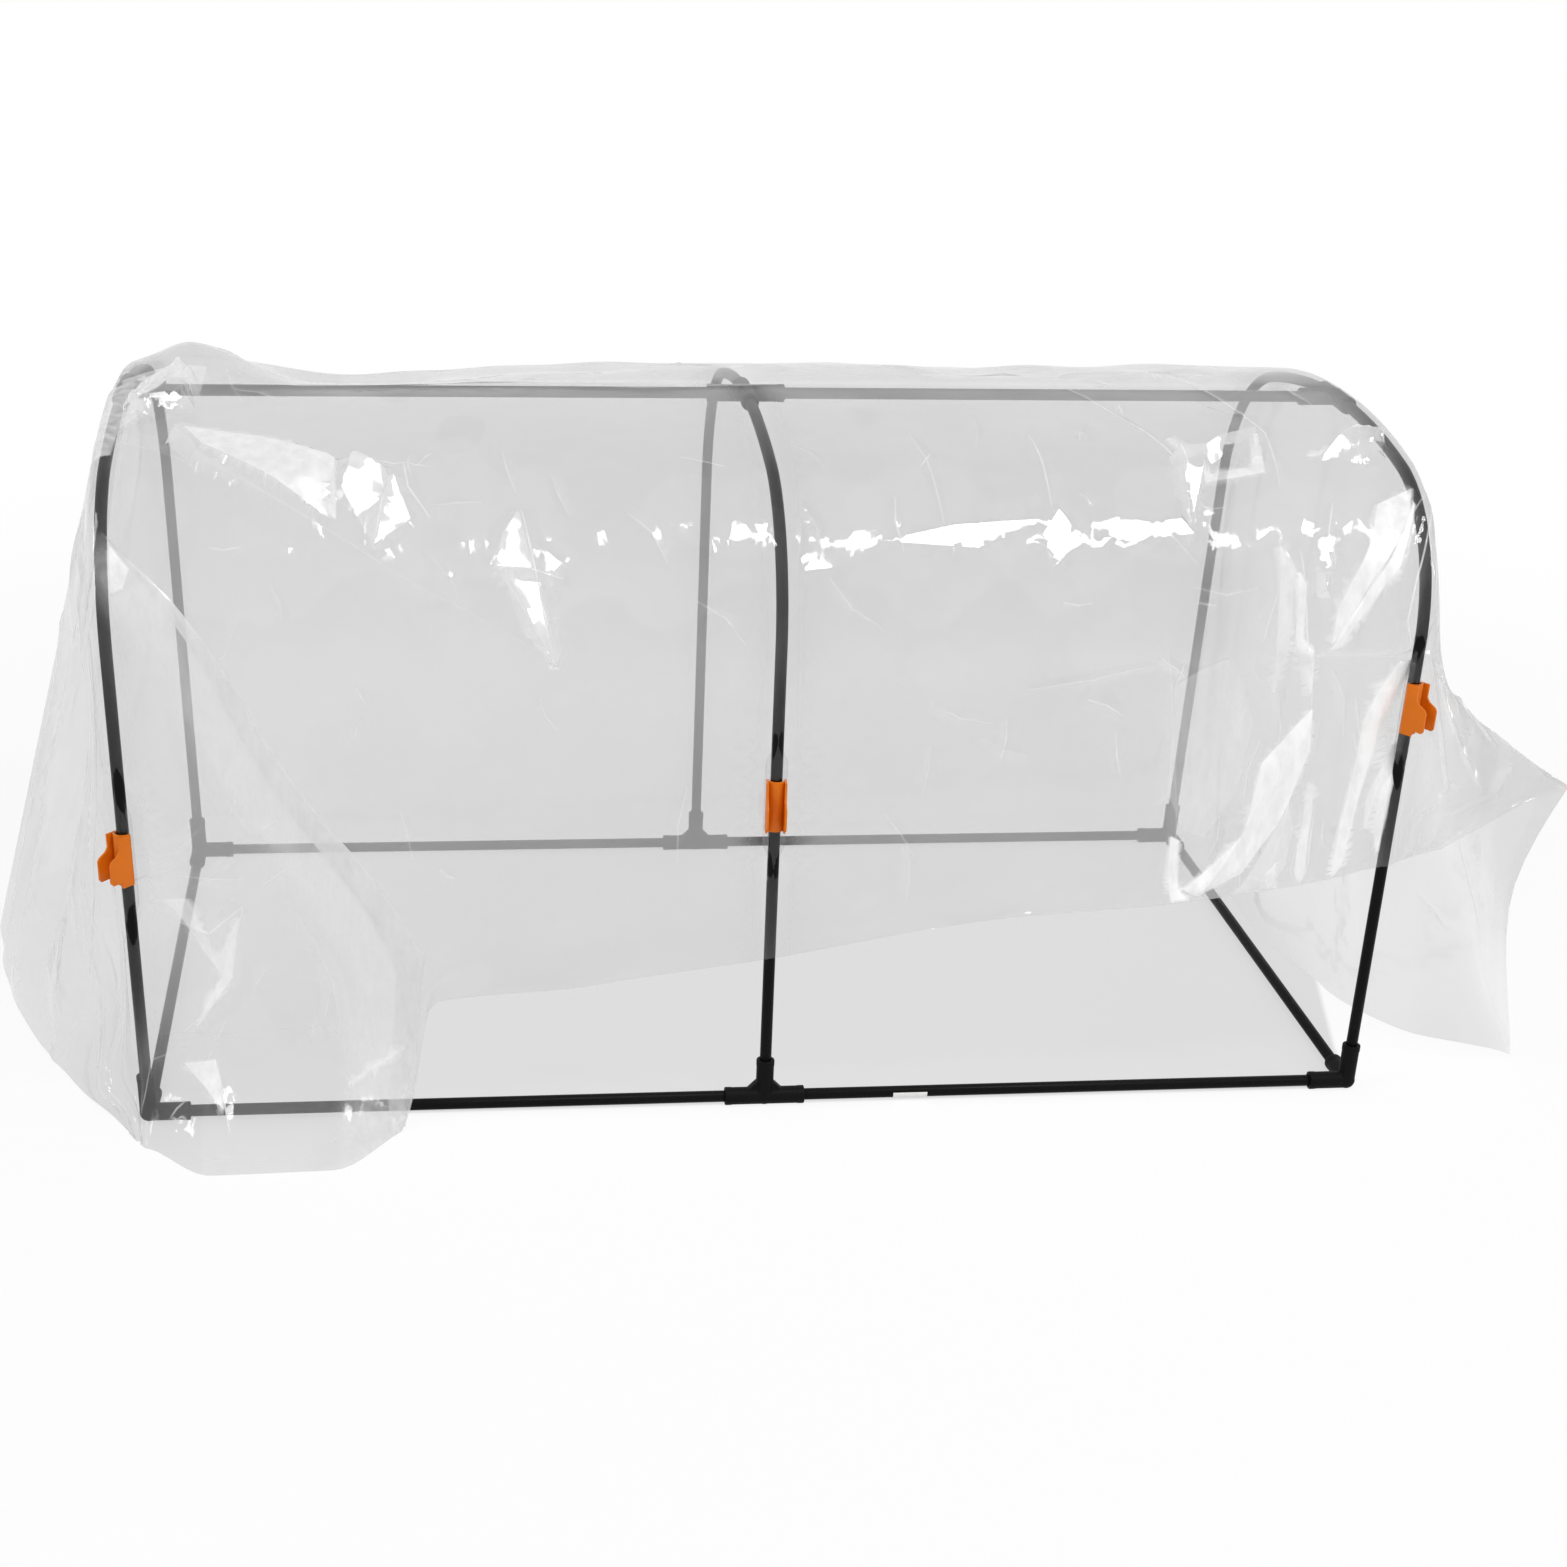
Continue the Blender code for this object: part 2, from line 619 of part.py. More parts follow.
def sheet_row_point(station, row):
    """A point of the film between the end hoops, at a station and in a row."""
    face, kind, value = row
    if kind == "run":
        run, clear = value
        point = hoop_point(station, face, run, clear)
        if face == REAR or run == 0:
            near_end = math.exp(-(((station - PUFF_STATION) / PUFF_STATION_WIDTH) ** 2))
            up_crown = math.exp(-(((run - PUFF_RUN) / PUFF_RUN_WIDTH) ** 2))
            point.z += PUFF_HEIGHT * near_end * up_crown
        return point
    if kind == "wall":
        return wall_point(station, face, value * LEG_TOP, HOOP_CLEAR)
    above = wall_point(station, face, between_hoops(ROW_ABOVE_CLIP, station), HOOP_CLEAR)
    below = wall_point(station, face, between_hoops(ROW_BELOW_CLIP, station), HOOP_CLEAR)
    if kind == "above":
        return above
    if kind == "below":
        return below
    if face == FRONT:
        top = below
        slide, out, up = read_along(FRONT_HEM, station)
    else:
        top = wall_point(station, face, REAR_WALL_SHARE * LEG_TOP, HOOP_CLEAR)
        slide, out, up = read_along(REAR_HEM, station)
    hem = Vector((station * BAY + slide, -face * (HALF_DEPTH + out), max(up, FLOOR)))
    knee = Vector((hem.x, top.y - face * BASE_CLEARANCE, hem.z + HEM_KNEE_SHARE * (top.z - hem.z)))
    return ease(top, knee, hem, value)


def end_frame(end, row):
    """Outward and axial directions in which the film turns over an end hoop, in a row."""
    station = STATION[end]
    axial = Vector((station, 0, 0))
    face, kind, value = row
    tilt = half_profile(value[0])[2] if kind == "run" else LEG_TILT
    outward = Vector((0, -face * math.sin(tilt), math.cos(tilt)))
    return outward, axial


def end_point(end, row, share_of_rows, column):
    """A point of the film at an end hoop's outer side or on its curtain."""
    station = STATION[end]
    crest = sheet_row_point(station, row)
    outward, axial = end_frame(end, row)
    depth = row[2][1] if row[1] == "run" else HOOP_CLEAR
    heart = crest - outward * depth
    if column == "wrap":
        return heart + (outward + axial) * depth * math.sqrt(0.5)
    shoulder = heart + axial * max(SHOULDER_OUT, depth + SHOULDER_GAP) - outward * SHOULDER_IN
    shoulder.z = max(shoulder.z, FLOOR)
    if column == "shoulder":
        return shoulder
    beyond, back, up = read_along(LEFT_EDGE if end == "left" else RIGHT_EDGE, share_of_rows)
    edge = Vector((station * (BAY + beyond), back * HALF_DEPTH, max(up, FLOOR)))
    middle = (shoulder + edge) / 2 + axial * CURTAIN_BULGE * min(1.0, shoulder.z / RIDGE_HEIGHT)
    point = ease(shoulder, middle, edge, column)
    return point


def film_columns():
    left = [("left", share) for share in reversed(CURTAIN_SHARES)]
    left += [("left", "shoulder"), ("left", "wrap")]
    stations = [-1.0]
    stations += [station for station in BAY_COLUMNS if station < 0]
    stations += [-HOOP_CLEAR / BAY, HOOP_CLEAR / BAY]
    stations += [station for station in BAY_COLUMNS if station > 0]
    stations += [1.0]
    right = [("right", "wrap"), ("right", "shoulder")]
    right += [("right", share) for share in CURTAIN_SHARES]
    return left + [("bay", station) for station in stations] + right


def pinch_points(side, height):
    """The film's way round one leg under its clip, at a height from the clip's centre."""
    turned = clip_frame(side)
    step = math.sqrt(0.5) * FILM_REACH
    lip = CLIP_WALL / 2 + PINCH_LIP_GAP
    lip_reach = (CLIP_BORE + CLIP_RADIUS) / 2
    half = [
        (CLIP_RADIUS + PINCH_FLARE, -lip),
        (lip_reach, -lip - PINCH_SLANT),
        (FILM_REACH, -lip),
        (FILM_REACH, 0.0),
        (step, step),
    ]
    section = half + [(0.0, FILM_REACH)] + [(-across, forward) for across, forward in reversed(half)]
    return [turned @ Vector((across, forward, height)) for across, forward in section]


def strip(mesh, coarse, fine, switches, flip):
    """Triangles between a few coarse points and many fine ones.

    switches[i] is the fine point at which the strip moves on from coarse point i.
    """
    made = []
    current = 0
    for index in range(len(fine) - 1):
        while current < len(switches) and switches[current] == index:
            made.append((coarse[current], coarse[current + 1], fine[index]))
            current += 1
        made.append((coarse[current], fine[index + 1], fine[index]))
    while current < len(switches):
        made.append((coarse[current], coarse[current + 1], fine[-1]))
        current += 1
    for face in made:
        mesh.faces.new(tuple(reversed(face)) if flip else face)


def add_film(parts):
    rows = film_rows()
    columns = film_columns()
    mesh = bmesh.new()
    grid = []
    for number, row in enumerate(rows):
        share = number / (len(rows) - 1)
        line = []
        for kind, value in columns:
            if kind == "bay":
                point = sheet_row_point(value, row)
            else:
                point = end_point(kind, row, share, value)
                if isinstance(value, float) and 1 < number < len(rows) - 2:
                    fold = FAN_FOLD * math.sin(math.pi * value) * (1 if number % 2 else -1)
                    point.x += fold
            line.append(mesh.verts.new(point))
        grid.append(line)
    above = next(number for number, row in enumerate(rows) if row[1] == "above")
    hooks = {
        "left": (columns.index(("left", CURTAIN_SHARES[0])), 4, (3, 5, 6, 7)),
        "middle": (columns.index(("bay", -HOOP_CLEAR / BAY)) - 1, 3, (3, 5, 7)),
        "right": (columns.index(("bay", 1.0)) - 1, 4, (3, 4, 5, 7)),
    }
    taken = {first + step for first, cells, _ in hooks.values() for step in range(cells)}
    for number in range(len(rows) - 1):
        for column in range(len(columns) - 1):
            if number == above and column in taken:
                continue
            low, high = grid[number], grid[number + 1]
            mesh.faces.new((low[column], high[column], high[column + 1], low[column + 1]))
    reach = CLIP_HEIGHT / 2 + CLIP_TRAVEL + PINCH_MARGIN
    for side, (first, cells, switches) in hooks.items():
        upper = [mesh.verts.new(point) for point in pinch_points(side, reach)]
        lower = [mesh.verts.new(point) for point in pinch_points(side, -reach)]
        top = grid[above][first:first + cells + 1]
        bottom = grid[above + 1][first:first + cells + 1]
        strip(mesh, top, upper, switches, flip=True)
        strip(mesh, bottom, lower, switches, flip=False)
        for index in range(len(upper) - 1):
            mesh.faces.new((upper[index], lower[index], lower[index + 1], upper[index + 1]))
        mesh.faces.new((top[0], bottom[0], lower[0], upper[0]))
        mesh.faces.new((upper[-1], lower[-1], bottom[-1], top[-1]))
    bmesh.ops.recalc_face_normals(mesh, faces=mesh.faces)
    bmesh.ops.triangulate(mesh, faces=mesh.faces)
    data = bpy.data.meshes.new("film_cover")
    mesh.to_mesh(data)
    mesh.free()
    film = add_object("film_cover", data, parts, CLEAR_FILM)
    thickness = film.modifiers.new("thickness", "SOLIDIFY")
    thickness.thickness = FILM_THICKNESS
    thickness.offset = 0
    shade(data, 60)


def main():
    clear_scene()
    parts = new_collection("hoop row cover")
    cutters = new_collection("cutters")
    add_tubes(parts)
    add_connectors(parts, cutters)
    add_clips(parts, cutters)
    add_label(parts)
    add_film(parts)


main()
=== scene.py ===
"""Hoop row cover: the looks of the push-together tunnel frame, its clips and its clear film.

Metres, origin on the ground at the middle of the base frame, +X along the row to the right,
+Y to the back and +Z up.
"""
import math

import bpy
import numpy as np
from mathutils import Matrix, Vector
from mathutils.geometry import delaunay_2d_cdt


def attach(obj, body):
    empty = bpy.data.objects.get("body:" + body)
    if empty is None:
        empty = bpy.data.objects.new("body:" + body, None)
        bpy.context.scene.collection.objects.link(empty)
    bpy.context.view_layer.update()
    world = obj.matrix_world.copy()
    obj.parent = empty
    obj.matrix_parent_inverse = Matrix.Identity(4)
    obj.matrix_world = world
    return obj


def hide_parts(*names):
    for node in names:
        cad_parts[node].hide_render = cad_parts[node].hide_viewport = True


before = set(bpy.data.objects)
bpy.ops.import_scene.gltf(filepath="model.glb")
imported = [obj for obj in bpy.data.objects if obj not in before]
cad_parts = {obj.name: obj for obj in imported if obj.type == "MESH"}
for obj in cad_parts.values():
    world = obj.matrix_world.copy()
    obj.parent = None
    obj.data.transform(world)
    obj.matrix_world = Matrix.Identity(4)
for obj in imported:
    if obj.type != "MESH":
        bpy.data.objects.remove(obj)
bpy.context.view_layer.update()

# Base frame and hoops
FRAME_LENGTH = 1.150
FRAME_DEPTH = 0.630
RIDGE_HEIGHT = 0.605
CROWN_ANGLE = math.radians(13)
BEND_RADIUS = 0.145
LEG_SPLAY = math.radians(1.04)
HOOP_LEAN = {"left": -0.018, "middle": 0.0, "right": 0.022}
STATION = {"left": -1, "middle": 0, "right": 1}
FRONT = 1
REAR = -1

# Tubes and connectors
TUBE_RADIUS = 0.0055
TUBE_WALL = 0.0008
TUBE_SIDES = 28
FIT_GAP = 0.0003
SOCKET_RADIUS = TUBE_RADIUS + FIT_GAP + 0.0027
SOCKET_REACH = 0.038
SOCKET_STOP = 0.008
BASE_AXIS = SOCKET_RADIUS - 0.0003
GUSSET_SIZE = 0.0075
GUSSET_THICKNESS = 0.009
SLEEVE_SINK = 0.00015
RIM_RISE = 0.0002
RIM_LENGTH = 0.0062
CORE_RISE = 0.0003
MOULD_VOXEL = 0.00075

# Sticker on the front rail, from the tee to the right
LABEL_START = 0.124
LABEL_LENGTH = 0.033
LABEL_LIFT = 0.00015

# Clips
CLIP_HEIGHT = 0.048
CLIP_WALL = 0.0020
CLIP_HALF_ANGLE = math.radians(95)
CLIP_TRAVEL = 0.010
CLIP_CENTRE = {"left": 0.254, "middle": 0.296, "right": 0.384}
CLIP_TURN = {"left": math.radians(44), "middle": math.radians(4), "right": math.radians(-34)}
FLAP_LENGTH = 0.012
FLAP_OVERLAP = 0.001
FLAP_THICKNESS = 0.0019
# Tab of a flap: its lowest and highest place as shares of the clip, then each step of its
# drawing out: how far forward, and how far its lower and its upper edge rise
TAB_SPAN = (0.12, 0.74)
TAB_STEPS = ((0.0029, 0.0, -0.0038), (0.0072, -0.0003, -0.0038), (0.0019, 0.0021, -0.0029))

# Film
FILM_THICKNESS = 0.0006
WRAP_STEP = math.radians(45)
FILM_REACH = (TUBE_RADIUS + FIT_GAP + FILM_THICKNESS / 2) / math.cos(WRAP_STEP / 2)
CLIP_BORE = FILM_REACH + FILM_THICKNESS / 2 + FIT_GAP
CLIP_RADIUS = CLIP_BORE + CLIP_WALL

BAY = FRAME_LENGTH / 2
HALF_DEPTH = FRAME_DEPTH / 2
LEG_TILT = math.pi / 2 - LEG_SPLAY
CROWN_RADIUS = (
    HALF_DEPTH
    - BEND_RADIUS * (math.sin(LEG_TILT) - math.sin(CROWN_ANGLE))
    - math.tan(LEG_SPLAY)
    * (RIDGE_HEIGHT - BEND_RADIUS * (math.cos(CROWN_ANGLE) - math.cos(LEG_TILT)))
) / (math.sin(CROWN_ANGLE) - math.tan(LEG_SPLAY) * (1 - math.cos(CROWN_ANGLE)))
CROWN_LENGTH = CROWN_RADIUS * CROWN_ANGLE
BEND_LENGTH = BEND_RADIUS * (LEG_TILT - CROWN_ANGLE)
CROWN_DROP = CROWN_RADIUS * (1 - math.cos(CROWN_ANGLE))
BEND_DROP = BEND_RADIUS * (math.cos(CROWN_ANGLE) - math.cos(LEG_TILT))
LEG_TOP = RIDGE_HEIGHT - CROWN_DROP - BEND_DROP
LEG_LENGTH = LEG_TOP / math.cos(LEG_SPLAY)
HALF_LENGTH = CROWN_LENGTH + BEND_LENGTH + LEG_LENGTH


# Camera, as the photograph was taken

CAMERA_PLACE = (-0.3198, -2.4382, 1.1538)


def set_camera():
    camera = bpy.data.objects.new("photo camera", bpy.data.cameras.new("photo camera"))
    bpy.context.scene.collection.objects.link(camera)
    right = Vector((0.9929119, -0.1146878, 0.0311861))
    up = Vector((0.0152686, 0.3833064, 0.9234950))
    back = Vector((-0.1178675, -0.9164731, 0.3823407))
    turn = Matrix((right, up, back)).transposed().to_4x4()
    camera.matrix_world = Matrix.Translation(CAMERA_PLACE) @ turn
    camera.data.sensor_width = 36
    camera.data.lens = 58.36
    camera.data.shift_x = 0.038
    camera.data.shift_y = 0.0386
    camera.data.clip_end = 100
    bpy.context.scene.camera = camera


# Materials

def new_material(name):
    material = bpy.data.materials.new(name)
    material.use_nodes = True
    nodes = material.node_tree.nodes
    return material, nodes, material.node_tree.links, nodes["Principled BSDF"]


def grain(nodes, links, scale, detail=4.0, stretch=(1, 1, 1)):
    """Noise in the piece's own metres."""
    place = nodes.new("ShaderNodeTexCoord")
    mapping = nodes.new("ShaderNodeMapping")
    mapping.inputs["Scale"].default_value = stretch
    noise = nodes.new("ShaderNodeTexNoise")
    noise.inputs["Scale"].default_value = scale
    noise.inputs["Detail"].default_value = detail
    links.new(place.outputs["Object"], mapping.inputs["Vector"])
    links.new(mapping.outputs["Vector"], noise.inputs["Vector"])
    return noise.outputs["Fac"]


def ramp(nodes, links, source, low, high, start=0.3, stop=0.7, smooth=False):
    """Turns values from start to stop into values from low to high."""
    node = nodes.new("ShaderNodeMapRange")
    if smooth:
        node.interpolation_type = "SMOOTHSTEP"
    for name, value in (("From Min", start), ("From Max", stop), ("To Min", low), ("To Max", high)):
        node.inputs[name].default_value = value
    links.new(source, node.inputs["Value"])
    return node.outputs["Result"]


def tint(nodes, links, source, low, high):
    node = nodes.new("ShaderNodeMix")
    node.data_type = "RGBA"
    node.inputs[6].default_value = (*low, 1)
    node.inputs[7].default_value = (*high, 1)
    links.new(source, node.inputs[0])
    return node.outputs[2]


def calculate(nodes, links, operation, *values, clamp=False):
    """Math node whose values are numbers or other nodes' outputs."""
    node = nodes.new("ShaderNodeMath")
    node.operation = operation
    node.use_clamp = clamp
    for socket, value in zip(node.inputs, values):
        if isinstance(value, bpy.types.NodeSocket):
            links.new(value, socket)
        else:
            socket.default_value = value
    return node.outputs[0]


def blend_shaders(nodes, links, share, first, second):
    node = nodes.new("ShaderNodeMixShader")
    links.new(share, node.inputs["Fac"])
    links.new(first, node.inputs[1])
    links.new(second, node.inputs[2])
    return node.outputs[0]


def attribute(nodes, name):
    node = nodes.new("ShaderNodeAttribute")
    node.attribute_name = name
    return node.outputs["Fac"]


def bump(nodes, links, source, distance, strength=None, base=None):
    node = nodes.new("ShaderNodeBump")
    node.inputs["Distance"].default_value = distance
    node.inputs["Strength"].default_value = 1.0
    if strength:
        links.new(strength, node.inputs["Strength"])
    links.new(source, node.inputs["Height"])
    if base:
        links.new(base, node.inputs["Normal"])
    return node.outputs["Normal"]


def coated_tube_material():
    """Steel tube in a smooth black plastic coat, satin, faintly clouded."""
    material, nodes, links, shader = new_material("black coated tube")
    cloud = grain(nodes, links, 22)
    skin = grain(nodes, links, 900, 2)
    colour = tint(nodes, links, cloud, (0.0035, 0.0035, 0.0035), (0.0070, 0.0070, 0.0068))
    shader.inputs["Specular IOR Level"].default_value = 0.06
    links.new(colour, shader.inputs["Base Color"])
    links.new(ramp(nodes, links, cloud, 0.30, 0.42), shader.inputs["Roughness"])
    links.new(bump(nodes, links, skin, 0.00003), shader.inputs["Normal"])
    return material


def moulded_plastic_material():
    """Black moulded connector plastic with a fine spark-eroded grain."""
    material, nodes, links, shader = new_material("black moulded plastic")
    cloud = grain(nodes, links, 35)
    skin = grain(nodes, links, 2200, 3)
    colour = tint(nodes, links, cloud, (0.0035, 0.0035, 0.0035), (0.0065, 0.0065, 0.0063))
    shader.inputs["Specular IOR Level"].default_value = 0.07
    links.new(colour, shader.inputs["Base Color"])
    links.new(ramp(nodes, links, skin, 0.44, 0.58), shader.inputs["Roughness"])
    links.new(bump(nodes, links, skin, 0.00006), shader.inputs["Normal"])
    return material


def orange_material():
    """Orange moulded clip plastic, half gloss, with flow marks along its height."""
    material, nodes, links, shader = new_material("orange clip plastic")
    cloud = grain(nodes, links, 60)
    flow = grain(nodes, links, 120, 3, (1, 1, 0.15))
    skin = grain(nodes, links, 2500, 2)
    colour = tint(nodes, links, cloud, (0.66, 0.147, 0.003), (0.74, 0.176, 0.005))
    grained = bump(nodes, links, skin, 0.00004)
    shader.inputs["Specular IOR Level"].default_value = 0.22
    links.new(colour, shader.inputs["Base Color"])
    links.new(ramp(nodes, links, flow, 0.32, 0.46), shader.inputs["Roughness"])
    links.new(bump(nodes, links, flow, 0.00008, base=grained), shader.inputs["Normal"])
    return material


def label_material():
    """Blank white sticker, slightly creased over the tube."""
    material, nodes, links, shader = new_material("blank white label")
    cloud = grain(nodes, links, 180)
    fibre = grain(nodes, links, 1600, 2)
    colour = tint(nodes, links, cloud, (0.80, 0.80, 0.79), (0.88, 0.88, 0.87))
    links.new(colour, shader.inputs["Base Color"])
    links.new(ramp(nodes, links, fibre, 0.45, 0.6), shader.inputs["Roughness"])
    links.new(bump(nodes, links, cloud, 0.0001), shader.inputs["Normal"])
    return material


def crumple(nodes, links, place, turn, stretch, scale):
    """Flat facets with sharp edges between them, as stiff film crumples."""
    mapping = nodes.new("ShaderNodeMapping")
    mapping.inputs["Rotation"].default_value = (0, 0, math.radians(turn))
    mapping.inputs["Scale"].default_value = (*stretch, 1)
    links.new(place, mapping.inputs["Vector"])
    cells = nodes.new("ShaderNodeTexVoronoi")
    cells.voronoi_dimensions = "2D"
    cells.distance = "MANHATTAN"
    cells.inputs["Scale"].default_value = scale
    links.new(mapping.outputs["Vector"], cells.inputs["Vector"])
    return cells.outputs["Distance"]


def film_bumps(nodes, links):
    """Ripples and crumples of the film, calm where its attribute "slack" is low."""
    chart = nodes.new("ShaderNodeUVMap")
    chart.uv_map = "sheet"
    place = chart.outputs["UV"]
    ripple = grain(nodes, links, 30, 2)
    broad = crumple(nodes, links, place, 24, (1.0, 0.62), 8)
    small = crumple(nodes, links, place, -37, (1.0, 0.45), 23)
    fine = crumple(nodes, links, place, 51, (1.0, 0.38), 62)
    slack = attribute(nodes, "slack")
    rippled = bump(nodes, links, ripple, 0.0005, slack)
    folded = bump(nodes, links, broad, 0.0085, slack, rippled)
    creased = bump(nodes, links, small, 0.0019, slack, folded)
    return bump(nodes, links, fine, 0.0003, base=creased)


def film_material():
    """Clear polyethylene: part see-through, part milky to light from behind, glossy on top."""
    material, nodes, links, gloss = new_material("clear film")
    cloud = grain(nodes, links, 7, 3)
    gloss.inputs["Base Color"].default_value = (0.80, 0.80, 0.80, 1)
    gloss.inputs["Metallic"].default_value = 1.0
    links.new(ramp(nodes, links, cloud, 0.05, 0.10), gloss.inputs["Roughness"])
    links.new(film_bumps(nodes, links), gloss.inputs["Normal"])
    clear = nodes.new("ShaderNodeBsdfTransparent")
    clear.inputs["Color"].default_value = (0.98, 0.98, 0.98, 1)
    milky = nodes.new("ShaderNodeBsdfTranslucent")
    milky.inputs["Color"].default_value = (0.93, 0.93, 0.93, 1)
    # Less haze where the film lies on or near a tube: painted shade over the tubes, part the real clarity of
    # film on what it touches
    lighter = calculate(nodes, links, "MULTIPLY_ADD", attribute(nodes, "touch"), -0.92, 1.0)
    haze = calculate(nodes, links, "MULTIPLY", ramp(nodes, links, cloud, 0.42, 0.50), lighter)
    body = blend_shaders(nodes, links, haze, clear.outputs[0], milky.outputs[0])
    edge_on = nodes.new("ShaderNodeLayerWeight")
    edge_on.inputs["Blend"].default_value = 0.5
    steep = calculate(nodes, links, "POWER", edge_on.outputs["Facing"], 5)
    share = calculate(nodes, links, "MULTIPLY_ADD", steep, 0.80, 0.045)
    whole = blend_shaders(nodes, links, share, body, gloss.outputs[0])
    # Painted highlight: a lit white shader mixed in along creases and folds. Part of it is the film's own
    # whitening where folded, part is painted sheen in place of glints.
    white = nodes.new("ShaderNodeBsdfPrincipled")
    white.inputs["Base Color"].default_value = (0.97, 0.97, 0.97, 1)
    white.inputs["Roughness"].default_value = 0.3
    streaks = ramp(nodes, links, grain(nodes, links, 90, 3, (1, 1, 0.35)), 0.65, 1.15)
    painted_sheen = calculate(nodes, links, "MULTIPLY", attribute(nodes, "crease_and_sheen"), streaks, clamp=True)
    sheen_and_whitening = blend_shaders(nodes, links, painted_sheen, whole, white.outputs[0])
    links.new(sheen_and_whitening, nodes["Material Output"].inputs["Surface"])
    return material


def seen_as_background(nodes, links):
    """1 where the backdrop is seen by eye, in a reflection or through clear plastic, else 0."""
    path = nodes.new("ShaderNodeLightPath")
    seen = path.outputs["Is Camera Ray"]
    for other in ("Is Glossy Ray", "Is Transmission Ray"):
        seen = calculate(nodes, links, "MAXIMUM", seen, path.outputs[other])
    return seen


SHADE_SLANT = 0.22
SHADE_BLUR = 0.004


def floor_material():
    """Plain studio floor: white around the object, with a painted soft pale grey shadow under it and where it
    is seen through the film.
    """
    material, nodes, links, shader = new_material("studio floor")
    shader.inputs["Base Color"].default_value = (0.90, 0.90, 0.90, 1)
    shader.inputs["Roughness"].default_value = 0.9
    shader.inputs["Specular IOR Level"].default_value = 0.0
    path = nodes.new("ShaderNodeLightPath")
    place = nodes.new("ShaderNodeTexCoord").outputs["Object"]
    parts = nodes.new("ShaderNodeSeparateXYZ")
    links.new(place, parts.inputs["Vector"])
    x, y = parts.outputs["X"], parts.outputs["Y"]
    # The film's hem lies further out toward the back at the right, and the painted shadow follows it
    slanted = calculate(nodes, links, "MULTIPLY_ADD", y, -SHADE_SLANT, x)
    edges = []
    for source, middle, half in ((slanted, SHADE_SLANT * HALF_DEPTH, BAY), (y, 0, HALF_DEPTH)):
        out = calculate(nodes, links, "ABSOLUTE", calculate(nodes, links, "SUBTRACT", source, middle))
        edges.append(ramp(nodes, links, out, 1, 0, half - SHADE_BLUR, half + SHADE_BLUR, smooth=True))
    inside = calculate(nodes, links, "MULTIPLY", *edges)
    through = calculate(nodes, links, "MINIMUM", path.outputs["Transparent Depth"], 1)
    shaded = calculate(nodes, links, "MAXIMUM", inside, through)
    glow = nodes.new("ShaderNodeEmission")
    # Painted shadow: pale grey inside the base and wherever the floor is seen through the film
    links.new(tint(nodes, links, shaded, (1.0, 1.0, 1.0), (0.72, 0.72, 0.72)), glow.inputs["Color"])
    away = nodes.new("ShaderNodeVectorMath")
    away.operation = "LENGTH"
    links.new(place, away.inputs[0])
    share = ramp(nodes, links, away.outputs["Value"], 0.86, 1.0, 0.7, 2.4, smooth=True)
    seen = calculate(nodes, links, "MULTIPLY", share, seen_as_background(nodes, links))
    mixed = blend_shaders(nodes, links, seen, shader.outputs[0], glow.outputs[0])
    links.new(mixed, nodes["Material Output"].inputs["Surface"])
    return material


# Stage: floor, sky and lamps

def add_floor():
    deselect()
    bpy.ops.mesh.primitive_plane_add(size=80, location=(0, 0, 0))
    floor = bpy.context.object
    floor.name = "studio floor"
    floor.data.materials.append(floor_material())


def set_world():
    world = bpy.data.worlds.new("studio sky")
    bpy.context.scene.world = world
    world.use_nodes = True
    nodes = world.node_tree.nodes
    links = world.node_tree.links
    sky = nodes["Background"]
    sky.inputs["Color"].default_value = (1, 1, 1, 1)
    strength = ramp(nodes, links, seen_as_background(nodes, links), 0.45, 1.0, 0, 1)
    links.new(strength, sky.inputs["Strength"])


def soft_box(name, place, target, width, height, power):
    lamp = bpy.data.lights.new(name, "AREA")
    lamp.shape = "RECTANGLE"
    lamp.size = width
    lamp.size_y = height
    lamp.energy = power
    made = bpy.data.objects.new(name, lamp)
    bpy.context.scene.collection.objects.link(made)
    made.location = place
    made.rotation_euler = (Vector(target) - Vector(place)).to_track_quat("-Z", "Y").to_euler()


KEY_PLACE = (0.85, -1.7, 3.3)


def add_lamps():
    soft_box("key box", KEY_PLACE, (0, 0, 0.3), 1.25, 0.60, 44)
    soft_box("left box", (-2.6, -1.0, 3.0), (0, 0, 0.3), 0.8, 0.8, 20)
    soft_box("right strip", (2.8, -1.4, 1.6), (0, 0, 0.3), 0.35, 1.6, 14)
    soft_box("left strip", (-2.9, -1.9, 1.7), (0, 0, 0.3), 0.35, 1.5, 12)


# Working with pieces

def deselect():
    bpy.ops.object.select_all(action="DESELECT")


def edit_mode():
    bpy.ops.object.mode_set(mode="EDIT")


def object_mode():
    bpy.ops.object.mode_set(mode="OBJECT")


def select_all(action="SELECT"):
    bpy.ops.mesh.select_all(action=action)


def apply_transform():
    bpy.ops.object.transform_apply(location=True, rotation=True, scale=True)


def smooth(degrees):
    bpy.ops.object.shade_smooth_by_angle(angle=math.radians(degrees))


def active(piece):
    deselect()
    piece.select_set(True)
    bpy.context.view_layer.objects.active = piece


def settle(piece, name, material, body, stands_for=()):
    active(piece)
    apply_transform()
    piece.name = name
    piece.data.name = name
    piece.data.materials.clear()
    piece.data.materials.append(material)
    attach(piece, body)
    if stands_for:
        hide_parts(*stands_for)
    return piece


def apply_all(piece):
    """Apply the modifiers in their order, each asleep until its turn."""
    for modifier in piece.modifiers:
        modifier.show_viewport = False
    active(piece)
    for modifier in list(piece.modifiers):
        modifier.show_viewport = True
        bpy.ops.object.modifier_apply(modifier=modifier.name)


